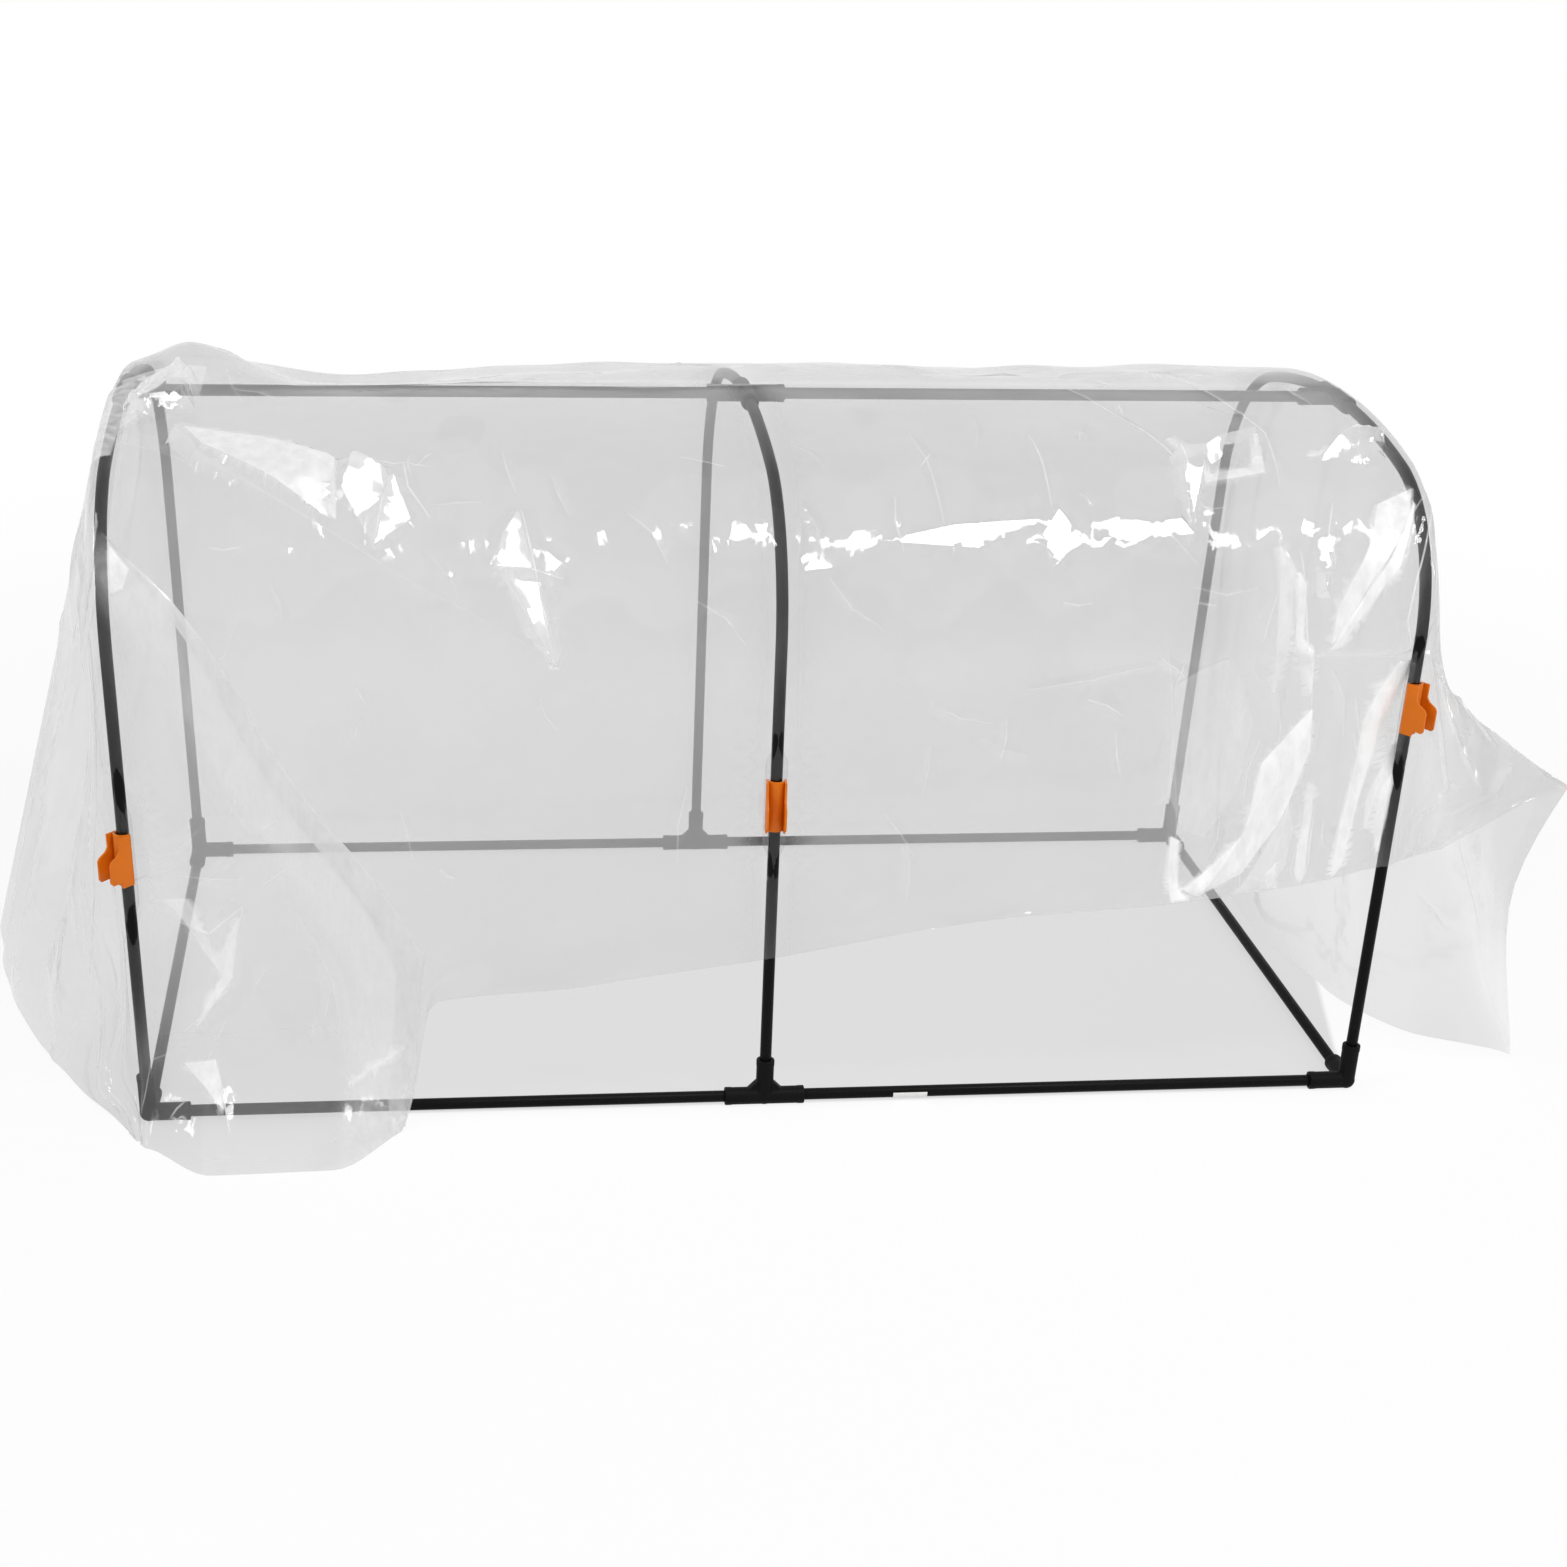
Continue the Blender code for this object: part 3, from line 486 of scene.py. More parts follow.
def half_profile(run):
    """Distance out, height above the base axis and normal tilt, a run along half a hoop."""
    if run <= CROWN_LENGTH:
        tilt = run / CROWN_RADIUS
        return CROWN_RADIUS * math.sin(tilt), RIDGE_HEIGHT - CROWN_RADIUS * (1 - math.cos(tilt)), tilt
    out = CROWN_RADIUS * math.sin(CROWN_ANGLE)
    height = RIDGE_HEIGHT - CROWN_DROP
    if run <= CROWN_LENGTH + BEND_LENGTH:
        tilt = CROWN_ANGLE + (run - CROWN_LENGTH) / BEND_RADIUS
        out += BEND_RADIUS * (math.sin(tilt) - math.sin(CROWN_ANGLE))
        return out, height - BEND_RADIUS * (math.cos(CROWN_ANGLE) - math.cos(tilt)), tilt
    out += BEND_RADIUS * (math.sin(LEG_TILT) - math.sin(CROWN_ANGLE))
    leg_run = run - CROWN_LENGTH - BEND_LENGTH
    return out + leg_run * math.sin(LEG_SPLAY), LEG_TOP - leg_run * math.cos(LEG_SPLAY), LEG_TILT


def lean_at(station):
    """Sideways lean of the ridge at a station from -1, the left hoop, to 1, the right one."""
    end = "left" if station < 0 else "right"
    return abs(station) * HOOP_LEAN[end]


def cover_point(station, face, out, height):
    lean = math.asin(lean_at(station) / RIDGE_HEIGHT)
    return Vector((station * BAY + height * math.sin(lean), -face * out, BASE_AXIS + height * math.cos(lean)))


def hoop_point(station, face, run, offset=0.0):
    out, height, tilt = half_profile(run)
    return cover_point(station, face, out + offset * math.sin(tilt), height + offset * math.cos(tilt))


def leg_axis(station, face):
    top = hoop_point(station, face, CROWN_LENGTH + BEND_LENGTH)
    return (top - hoop_point(station, face, HALF_LENGTH)).normalized()


def leg_run(height):
    return HALF_LENGTH - height / math.cos(LEG_SPLAY)


def aim(direction):
    """Rotation that lays a piece's Z along a direction."""
    return direction.to_track_quat("Z", "Y").to_euler()


# Tubes

def tube_ends_and_wall(piece):
    """Give an open tube its steel wall and ease its cut ends."""
    wall = piece.modifiers.new("wall", "SOLIDIFY")
    wall.thickness = TUBE_WALL
    wall.offset = -1
    ease = piece.modifiers.new("eased ends", "BEVEL")
    ease.width = 0.00025
    ease.segments = 2
    ease.limit_method = "ANGLE"
    ease.angle_limit = math.radians(60)
    apply_all(piece)
    smooth(40)


def straight_tube(name, start, end, coat):
    direction = (end - start).normalized()
    low = start + direction * (SOCKET_STOP + FIT_GAP)
    high = end - direction * (SOCKET_STOP + FIT_GAP)
    if name.startswith("ridge_pole"):
        length = BAY - 2 * (SOCKET_STOP + FIT_GAP)
        middle = (start + end) / 2
        low = middle - direction * length / 2
        high = middle + direction * length / 2
    deselect()
    bpy.ops.mesh.primitive_cylinder_add(
        vertices=TUBE_SIDES, radius=TUBE_RADIUS, depth=(high - low).length, end_fill_type="NOTHING",
        location=(low + high) / 2, rotation=aim(direction),
    )
    piece = bpy.context.object
    tube_ends_and_wall(piece)
    return settle(piece, f"{name}_tube", coat, "frame", [name])


def hoop_half(name, side, face, coat):
    """Bent tube: a ring spun round the crown's and the bend's centres, then drawn down the leg."""
    start = (SOCKET_STOP + FIT_GAP) / CROWN_RADIUS
    crown_centre = Vector((0, 0, RIDGE_HEIGHT - CROWN_RADIUS))
    bend_centre = crown_centre + (CROWN_RADIUS - BEND_RADIUS) * Vector(
        (0, -math.sin(CROWN_ANGLE), math.cos(CROWN_ANGLE))
    )
    place = crown_centre + CROWN_RADIUS * Vector((0, -math.sin(start), math.cos(start)))
    deselect()
    bpy.ops.mesh.primitive_circle_add(
        vertices=TUBE_SIDES, radius=TUBE_RADIUS, fill_type="NOTHING",
        location=place, rotation=(math.pi / 2 + start, 0, 0),
    )
    piece = bpy.context.object
    apply_transform()
    edit_mode()
    select_all()
    bpy.ops.mesh.spin(steps=8, angle=CROWN_ANGLE - start, center=crown_centre, axis=(-1, 0, 0))
    bpy.ops.mesh.spin(steps=22, angle=LEG_TILT - CROWN_ANGLE, center=bend_centre, axis=(-1, 0, 0))
    length = LEG_LENGTH - SOCKET_STOP - FIT_GAP
    down = Vector((0, -math.sin(LEG_SPLAY), -math.cos(LEG_SPLAY))) * length
    bpy.ops.mesh.extrude_region_move(TRANSFORM_OT_translate={"value": down})
    select_all()
    bpy.ops.mesh.remove_doubles(threshold=0.00001)
    bpy.ops.mesh.normals_make_consistent(inside=False)
    object_mode()
    station = STATION[side]
    if face == REAR:
        piece.rotation_euler = (0, 0, math.pi)
        bpy.ops.object.transform_apply(location=False, rotation=True, scale=False)
    piece.rotation_euler = (0, math.asin(lean_at(station) / RIDGE_HEIGHT), 0)
    piece.location = (station * BAY, 0, BASE_AXIS)
    tube_ends_and_wall(piece)
    return settle(piece, f"{name}_tube", coat, "frame", [name])


def add_tubes(coat):
    for side in ("left", "right"):
        station = STATION[side]
        for face, where in ((FRONT, "front"), (REAR, "rear")):
            corner = cover_point(station, face, HALF_DEPTH, 0)
            tee = cover_point(0, face, HALF_DEPTH, 0)
            straight_tube(f"rail_{where}_{side}", corner, tee, coat)
        front = cover_point(station, FRONT, HALF_DEPTH, 0)
        rear = cover_point(station, REAR, HALF_DEPTH, 0)
        straight_tube(f"rail_end_{side}", front, rear, coat)
        straight_tube(f"ridge_pole_{side}", hoop_point(station, FRONT, 0), hoop_point(0, FRONT, 0), coat)
    for side in STATION:
        hoop_half(f"hoop_{side}_front", side, FRONT, coat)
        hoop_half(f"hoop_{side}_rear", side, REAR, coat)


# Connectors

def sleeve(start, direction, length, radius):
    """Closed round bar from a point along a direction."""
    deselect()
    bpy.ops.mesh.primitive_cylinder_add(
        vertices=40, radius=radius, depth=length,
        location=start + direction * length / 2, rotation=aim(direction),
    )
    return bpy.context.object


def web(centre, first, second):
    """Block that fills the corner between two square arms, its outer edge cut to a slope."""
    edge = SOCKET_RADIUS + GUSSET_SIZE
    deselect()
    bpy.ops.mesh.primitive_cube_add(size=1, location=(0, 0, 0))
    block = bpy.context.object
    block.scale = (edge, edge, GUSSET_THICKNESS)
    block.location = (edge / 2, edge / 2, 0)
    apply_transform()
    edit_mode()
    select_all()
    foot = SOCKET_RADIUS * 0.9
    bpy.ops.mesh.bisect(
        plane_co=(edge, foot, 0), plane_no=(1, 1, 0), use_fill=True, clear_outer=True, threshold=0.00001
    )
    object_mode()
    normal = first.cross(second).normalized()
    axes = Matrix((first.normalized(), normal.cross(first).normalized(), normal)).transposed().to_4x4()
    block.matrix_world = Matrix.Translation(centre) @ axes
    return block


def unite(piece, others, operation="UNION"):
    """Join other closed shapes into one tool and add it to a piece, or cut it away."""
    active(others[0])
    for other in others:
        other.select_set(True)
    bpy.ops.object.join()
    tool = bpy.context.object
    active(piece)
    modifier = piece.modifiers.new("join", "BOOLEAN")
    modifier.operation = operation
    modifier.object = tool
    modifier.solver = "EXACT"
    modifier.use_self = operation == "UNION"
    bpy.ops.object.modifier_apply(modifier=modifier.name)
    bpy.data.objects.remove(tool, do_unlink=True)


def connector(name, centre, arms, plastic, webs=(), on_ground=False):
    """Moulded socket piece: sleeves with rolled rims, softened where they meet, then bored out."""
    deselect()
    bpy.ops.mesh.primitive_uv_sphere_add(
        segments=40, ring_count=20, radius=SOCKET_RADIUS + CORE_RISE, location=centre
    )
    piece = bpy.context.object
    bars = []
    for arm in arms:
        direction = (arm(SOCKET_REACH) - centre).normalized()
        rim = centre + direction * (SOCKET_REACH - RIM_LENGTH)
        bars.append(sleeve(centre, direction, SOCKET_REACH, SOCKET_RADIUS - SLEEVE_SINK))
        bars.append(sleeve(rim, direction, RIM_LENGTH, SOCKET_RADIUS + RIM_RISE))
    for first, second in webs:
        ways = [(arms[index](SOCKET_REACH) - centre).normalized() for index in (first, second)]
        bars.append(web(centre, *ways))
    active(piece)
    for bar in bars:
        bar.select_set(True)
    bpy.ops.object.join()
    skin = piece.modifiers.new("skin", "REMESH")
    skin.mode = "VOXEL"
    skin.voxel_size = MOULD_VOXEL
    soften = piece.modifiers.new("soften", "SMOOTH")
    soften.factor = 0.5
    soften.iterations = 3
    thin = piece.modifiers.new("thin", "DECIMATE")
    thin.ratio = 0.35
    apply_all(piece)
    bores = []
    for arm in arms:
        mouth = arm(SOCKET_REACH)
        stop = arm(SOCKET_STOP)
        way = (mouth - stop).normalized()
        bores.append(sleeve(stop, way, (mouth - stop).length + 0.004, TUBE_RADIUS + FIT_GAP))
    if on_ground:
        deselect()
        bpy.ops.mesh.primitive_cube_add(size=0.2, location=(centre.x, centre.y, -0.1))
        bores.append(bpy.context.object)
    unite(piece, bores, "DIFFERENCE")
    smooth(48)
    return settle(piece, f"{name}_moulding", plastic, "frame", [name])


def add_connectors(plastic):
    right = Vector((1, 0, 0))
    back = Vector((0, 1, 0))

    def straight(centre, way):
        return lambda distance: centre + way.normalized() * distance

    def along_hoop(station, face):
        return lambda distance: hoop_point(station, face, distance)

    for face, where in ((FRONT, "front"), (REAR, "rear")):
        for side in ("left", "right"):
            station = STATION[side]
            centre = cover_point(station, face, HALF_DEPTH, 0)
            ways = [-station * right, face * back, leg_axis(station, face)]
            connector(f"corner_{where}_{side}", centre, [straight(centre, way) for way in ways], plastic,
                      on_ground=True)
        centre = cover_point(0, face, HALF_DEPTH, 0)
        ways = [-right, right, leg_axis(0, face)]
        connector(f"tee_{where}", centre, [straight(centre, way) for way in ways], plastic,
                  webs=((0, 2), (2, 1)), on_ground=True)
    middle = hoop_point(0, FRONT, 0)
    poles = []
    for side in ("left", "right"):
        station = STATION[side]
        centre = hoop_point(station, FRONT, 0)
        pole = middle - centre
        poles.append(straight(middle, -pole))
        arms = [along_hoop(station, FRONT), along_hoop(station, REAR), straight(centre, pole)]
        connector(f"ridge_tee_{side}", centre, arms, plastic)
    connector("ridge_cross", middle, [along_hoop(0, FRONT), along_hoop(0, REAR)] + poles, plastic)


# Clips

def clip_frame(side):
    """Place of a clip: Z up its leg, Y towards the finger flaps, at the clip's centre."""
    station = STATION[side]
    up = leg_axis(station, FRONT)
    turn = CLIP_TURN[side]
    flaps = Vector((-math.sin(turn), -math.cos(turn), 0))
    across = flaps.cross(up).normalized()
    forward = up.cross(across)
    centre = hoop_point(station, FRONT, leg_run(CLIP_CENTRE[side]))
    return Matrix.Translation(centre) @ Matrix((across, forward, up)).transposed().to_4x4()


def select_where(test):
    """Select what faces of the active mesh pass a test, and nothing else."""
    edit_mode()
    select_all("DESELECT")
    object_mode()
    for face in bpy.context.object.data.polygons:
        face.select = test(face)
    edit_mode()


def clip_flap(hand):
    """Finger flap: a plate whose middle part is drawn forward into a tab with a sloped shoulder."""
    low, high = (CLIP_HEIGHT * share - CLIP_HEIGHT / 2 for share in TAB_SPAN)
    deselect()
    bpy.ops.mesh.primitive_cube_add(size=1)
    flap = bpy.context.object
    flap.scale = (FLAP_THICKNESS, FLAP_LENGTH - FLAP_OVERLAP, CLIP_HEIGHT)
    flap.location = (hand * (CLIP_BORE + CLIP_WALL / 2), (FLAP_LENGTH + FLAP_OVERLAP) / 2, 0)
    apply_transform()
    edit_mode()
    for height in (high, low):
        select_all()
        bpy.ops.mesh.bisect(plane_co=(0, 0, height), plane_no=(0, 0, 1), threshold=0.00001)
    bpy.ops.mesh.select_mode(type="FACE")
    for reach, lower, upper in TAB_STEPS:
        object_mode()
        front = max(face.center.y for face in flap.data.polygons)
        select_where(lambda face: face.normal.y > 0.5 and abs(face.center.y - front) < 0.0006
                     and low < face.center.z < high)
        bpy.ops.mesh.extrude_region_move(TRANSFORM_OT_translate={"value": (0, reach, 0)})
        object_mode()
        tips = [vert for vert in flap.data.vertices if vert.select]
        middle = sum(vert.co.z for vert in tips) / len(tips)
        for vert in tips:
            vert.co.z += upper if vert.co.z > middle else lower
        edit_mode()
    object_mode()
    return flap


def add_clip(side, plastic):
    """C spring that grips the tube, with two finger flaps."""
    deselect()
    bpy.ops.mesh.primitive_circle_add(vertices=72, radius=CLIP_BORE, fill_type="NOTHING",
                                      location=(0, 0, -CLIP_HEIGHT / 2))
    clip = bpy.context.object
    apply_transform()
    edit_mode()
    bpy.ops.mesh.select_mode(type="VERT")
    select_all("DESELECT")
    object_mode()
    for vert in clip.data.vertices:
        angle = abs(math.atan2(vert.co.x, vert.co.y))
        vert.select = angle > CLIP_HALF_ANGLE + 0.001
    edit_mode()
    bpy.ops.mesh.delete(type="VERT")
    select_all()
    bpy.ops.mesh.extrude_region_move()
    ratio = CLIP_RADIUS / CLIP_BORE
    bpy.ops.transform.resize(value=(ratio, ratio, 1), center_override=(0, 0, 0))
    select_all()
    bpy.ops.mesh.extrude_region_move(TRANSFORM_OT_translate={"value": (0, 0, CLIP_HEIGHT)})
    select_all()
    bpy.ops.mesh.normals_make_consistent(inside=False)
    object_mode()
    unite(clip, [clip_flap(-1), clip_flap(1)])
    ease = clip.modifiers.new("eased edges", "BEVEL")
    ease.width = 0.00045
    ease.segments = 3
    ease.limit_method = "ANGLE"
    ease.angle_limit = math.radians(50)
    apply_all(clip)
    smooth(40)
    clip.matrix_world = clip_frame(side)
    return settle(clip, f"clip_{side}_moulding", plastic, f"clip_{side}", [f"clip_{side}"])


# Label

def add_label(paper):
    """Blank sticker rolled round the front rail."""
    deselect()
    bpy.ops.mesh.primitive_grid_add(x_subdivisions=24, y_subdivisions=14, size=1)
    label = bpy.context.object
    centre = cover_point(0, FRONT, HALF_DEPTH, 0)
    radius = TUBE_RADIUS + FIT_GAP + LABEL_LIFT
    low, high = math.radians(-70), math.radians(15)
    for vert in label.data.vertices:
        angle = low + (vert.co.y + 0.5) * (high - low)
        along = LABEL_START + (vert.co.x + 0.5) * LABEL_LENGTH
        reach = radius + 0.00012 * math.sin(along * 900) * max(0.0, vert.co.y)
        vert.co = (centre.x + along, centre.y - reach * math.cos(angle), centre.z + reach * math.sin(angle))
    wall = label.modifiers.new("paper", "SOLIDIFY")
    wall.thickness = 0.0002
    wall.offset = 0
    apply_all(label)
    smooth(40)
    return settle(label, "rail_label_sticker", paper, "frame", ["rail_label"])


# Film: the sheet as it is thrown over the hoops, before its creases

CLIP_EDGE = CLIP_HEIGHT / 2 + CLIP_TRAVEL + 0.0025
SOCKET_CLEAR = (SOCKET_RADIUS + 0.0004 + FIT_GAP + FILM_THICKNESS / 2) / math.cos(WRAP_STEP / 2)
BEND_ROWS = 3
BEND_CLEAR = (BEND_RADIUS + FILM_REACH) / math.cos((LEG_TILT - CROWN_ANGLE) / BEND_ROWS / 2) - BEND_RADIUS
FLOOR = 0.0006
BASE_CLEARANCE = 0.0035
ROW_ABOVE_CLIP = {"left": 0.353, "middle": 0.391, "right": 0.438}
ROW_BELOW_CLIP = {"left": 0.163, "middle": 0.201, "right": 0.309}

# Front and rear hem, by station: how far it has slid right, out from the base frame and up
FRONT_HEM = [
    (-1.00, (0.006, 0.058, 0.000)), (-0.90, (0.005, 0.109, 0.000)), (-0.70, (0.000, 0.106, 0.000)),
    (-0.59, (-0.003, 0.037, 0.000)), (-0.53, (-0.007, 0.009, 0.118)), (-0.30, (0.000, 0.009, 0.131)),
    (0.00, (0.000, 0.008, 0.155)), (0.30, (0.000, 0.008, 0.186)), (0.70, (0.000, 0.008, 0.206)),
    (0.90, (0.002, 0.008, 0.224)), (1.00, (0.008, 0.008, 0.238)),
]
REAR_HEM = [(-1.00, (0.000, 0.016, 0.043)), (0.00, (0.000, 0.047, 0.008)), (1.00, (0.008, 0.113, 0.000))]

# Free edges of the end curtains, by row from the rear hem, 0, to the front hem, 1: how far
# beyond the end hoop's base, how far back as a share of half the depth, and how high
LEFT_EDGE = [
    (0.00, (0.037, 1.117, 0.012)), (0.17, (0.141, 0.984, 0.000)), (0.33, (0.182, 0.737, 0.000)),
    (0.44, (0.200, 0.457, 0.000)), (0.56, (0.182, 0.127, 0.000)), (0.67, (0.163, -0.146, 0.000)),
    (0.78, (0.115, -0.524, 0.000)), (0.89, (0.059, -0.870, 0.000)), (1.00, (0.015, -1.095, 0.000)),
]
RIGHT_EDGE = [
    (0.00, (0.065, 1.371, 0.000)), (0.17, (0.060, 1.143, 0.000)), (0.33, (0.026, 0.698, 0.000)),
    (0.44, (0.024, 0.190, 0.000)), (0.55, (0.062, -0.381, 0.000)), (0.62, (0.110, -0.670, 0.000)),
    (0.67, (0.200, -0.832, 0.000)), (0.72, (0.136, -1.010, 0.196)), (0.78, (0.177, -1.022, 0.322)),
    (0.89, (0.125, -1.025, 0.296)), (1.00, (0.059, -1.025, 0.255)),
]
BAY_COLUMNS = [-0.90, -0.70, -0.59, -0.53, -0.30, -0.10, 0.10, 0.30, 0.50, 0.70, 0.90]
CURTAIN_SHARES = [0.12, 0.40, 0.70, 1.00]
CURTAIN_LENGTH = 0.50
HEM_LENGTH = 0.15
REAR_HEM_LENGTH = 0.24
SHOULDER_OUT = 0.0085
FAN_FOLD = 0.012
CURTAIN_FLARE = 0.12

# Slack that stands up as a puff at the left end of the ridge, by station and run
PUFF_HEIGHT = 0.032
PUFF_STATION = -0.90
PUFF_WIDTH = 0.06
PUFF_RUN = 0.07
PUFF_REACH = 0.10

# Sag of the crown in the left bay
SAG_DEPTH = 0.024
SAG_PLACE = (-0.36, -0.12)
SAG_REACH = (0.14, 0.09)

# Wrap of the film round a leg under its clip
WRAP_OFFSET = 0.0006
WRAP_PLY = 0.00035
WRAP_TUCK = 0.0026
WRAP_EASING = 0.055

# Corner fold at the front left: how far right of the leg its edge lies and how deep its tuck is,
# by run down the front
CORNER_FOLD = [
    (0.000, (0.0, 0.0)), (0.285, (0.0, 0.0)), (0.343, (0.056, 0.012)), (0.444, (0.133, 0.020)),
    (0.573, (0.208, 0.026)), (0.657, (0.261, 0.028)), (0.741, (0.251, 0.026)), (1.200, (0.249, 0.024)),
]
PLY_GAP = 0.0016


def read_along(table, key):
    """Point at a key, straight between the neighbouring points of a table."""
    for (low, start), (high, end) in zip(table, table[1:]):
        if key <= high:
            share = max(0.0, (key - low) / (high - low))
            return Vector(start).lerp(Vector(end), share)
    return Vector(table[-1][1])


def between_hoops(values, station):
    end = "left" if station < 0 else "right"
    return values["middle"] + abs(station) * (values[end] - values["middle"])


def ease(start, knee, end, share):
    return start.lerp(knee, share).lerp(knee.lerp(end, share), share)


def film_rows():
    """Rows of the film from the rear hem over the ridge to the front hem, each with its run."""
    bend = [CROWN_LENGTH + BEND_LENGTH * step / BEND_ROWS for step in range(BEND_ROWS + 1)]
    over = [(0.0, SOCKET_CLEAR), (SOCKET_REACH + 0.004, SOCKET_CLEAR)] + [(run, BEND_CLEAR) for run in bend]
    wall = leg_run(0.5 * LEG_TOP)
    rows = [(REAR, "hem", 1.0, -wall - REAR_HEM_LENGTH), (REAR, "hem", 0.6, -wall - 0.6 * REAR_HEM_LENGTH)]
    rows += [(REAR, "wall", 0.5, -wall)]
    rows += [(REAR, "run", item, -item[0]) for item in reversed(over)]
    rows += [(FRONT, "run", item, item[0]) for item in over[1:]]
    above, below = leg_run(ROW_ABOVE_CLIP["middle"]), leg_run(ROW_BELOW_CLIP["middle"])
    rows += [(FRONT, "above", None, above), (FRONT, "below", None, below)]
    rows += [(FRONT, "hem", share, below + share * HEM_LENGTH) for share in (0.45, 0.75, 1.0)]
    return rows


def wall_point(station, face, height, offset):
    return hoop_point(station, face, leg_run(height), offset)


def sheet_row_point(station, row):
    """A point of the film between the end hoops, at a station and in a row."""
    face, kind, value = row[:3]
    if kind == "run":
        run, clear = value
        point = hoop_point(station, face, run, clear)
        if face == REAR or run == 0:
            near_end = math.exp(-(((station - PUFF_STATION) / PUFF_WIDTH) ** 2))
            up_crown = math.exp(-(((run - PUFF_RUN) / PUFF_REACH) ** 2))
            point.z += PUFF_HEIGHT * near_end * up_crown
        return point
    if kind == "wall":
        return wall_point(station, face, value * LEG_TOP, FILM_REACH)
    above = wall_point(station, face, between_hoops(ROW_ABOVE_CLIP, station), FILM_REACH)
    below = wall_point(station, face, between_hoops(ROW_BELOW_CLIP, station), FILM_REACH)
    if kind == "above":
        return above
    if kind == "below":
        return below
    if face == FRONT:
        top = below
        slide, out, up = read_along(FRONT_HEM, station)
    else:
        top = wall_point(station, face, 0.5 * LEG_TOP, FILM_REACH)
        slide, out, up = read_along(REAR_HEM, station)
    hem = Vector((station * BAY + slide, -face * (HALF_DEPTH + out), max(up, FLOOR)))
    knee = Vector((hem.x, top.y - face * BASE_CLEARANCE, hem.z + 0.22 * (top.z - hem.z)))
    return ease(top, knee, hem, value)


def end_point(end, row, number, rows, column):
    """A point of the film at an end hoop's outer side or on its curtain."""
    station = STATION[end]
    crest = sheet_row_point(station, row)
    axial = Vector((station, 0, 0))
    tilt = half_profile(row[2][0])[2] if row[1] == "run" else LEG_TILT
    outward = Vector((0, -row[0] * math.sin(tilt), math.cos(tilt)))
    depth = row[2][1] if row[1] == "run" else FILM_REACH
    heart = crest - outward * depth
    if column == "wrap":
        return heart + (outward + axial) * depth * math.sqrt(0.5)
    shoulder = heart + axial * max(SHOULDER_OUT, depth + 0.001) - outward * 0.001
    shoulder.z = max(shoulder.z, FLOOR)
    if column == "shoulder":
        return shoulder
    beyond, back, up = read_along(LEFT_EDGE if end == "left" else RIGHT_EDGE, number / (rows - 1))
    edge = Vector((station * (BAY + beyond), back * HALF_DEPTH, max(up, FLOOR)))
    middle = (shoulder + edge) / 2
    middle.x -= CURTAIN_FLARE * (edge.x - shoulder.x)
    point = ease(shoulder, middle, edge, column)
    if 1 < number < rows - 2:
        point.x += FAN_FOLD * math.sin(math.pi * column) * (1 if number % 2 else -1)
    return point


def film_columns():
    """Columns across the film, each with its place on the sheet laid flat."""
    columns = [("left", share, -BAY - 0.0135 - share * CURTAIN_LENGTH) for share in reversed(CURTAIN_SHARES)]
    columns += [("left", "shoulder", -BAY - 0.0135), ("left", "wrap", -BAY - 0.0070)]
    stations = [-1.0] + BAY_COLUMNS[:6] + [-FILM_REACH / BAY, FILM_REACH / BAY] + BAY_COLUMNS[6:] + [1.0]
    columns += [("bay", station, station * BAY) for station in stations]
    columns += [("right", "wrap", BAY + 0.0070), ("right", "shoulder", BAY + 0.0135)]
    columns += [("right", share, BAY + 0.0135 + share * CURTAIN_LENGTH) for share in CURTAIN_SHARES]
    return columns


def steady_slopes(knots, values):
    """Slopes of a smooth curve through values that never swings past them."""
    steps = np.diff(knots).reshape(-1, *([1] * (values.ndim - 1)))
    rises = np.diff(values, axis=0) / steps
    before, after = rises[:-1], rises[1:]
    weight_before = 2 * steps[1:] + steps[:-1]
    weight_after = steps[1:] + 2 * steps[:-1]
    together = before * after
    safe = np.where(together > 0, together, 1)
    weighed = weight_before * after + weight_after * before + 1e-30
    inner = (weight_before + weight_after) * safe / weighed
    inner = np.where(together > 0, inner, 0)
    return np.concatenate([rises[:1], inner, rises[-1:]])


def smooth_between(knots, values, slopes, at, pick):
    """Cubic values at places between the knots. pick(array, index) takes each place's own entry."""
    index = np.clip(np.searchsorted(knots, at) - 1, 0, len(knots) - 2)
    low, high = pick(values, index), pick(values, index + 1)
    slope_low, slope_high = pick(slopes, index), pick(slopes, index + 1)
    shape = (-1,) + (1,) * (low.ndim - 1)
    step = (knots[index + 1] - knots[index]).reshape(shape)
    share = np.clip((at - knots[index]).reshape(shape) / step, 0, 1)
    left = 1 - share
    return (
        low * (1 + 2 * share) * left ** 2 + slope_low * step * share * left ** 2
        + high * (1 + 2 * left) * share ** 2 - slope_high * step * left * share ** 2
    )


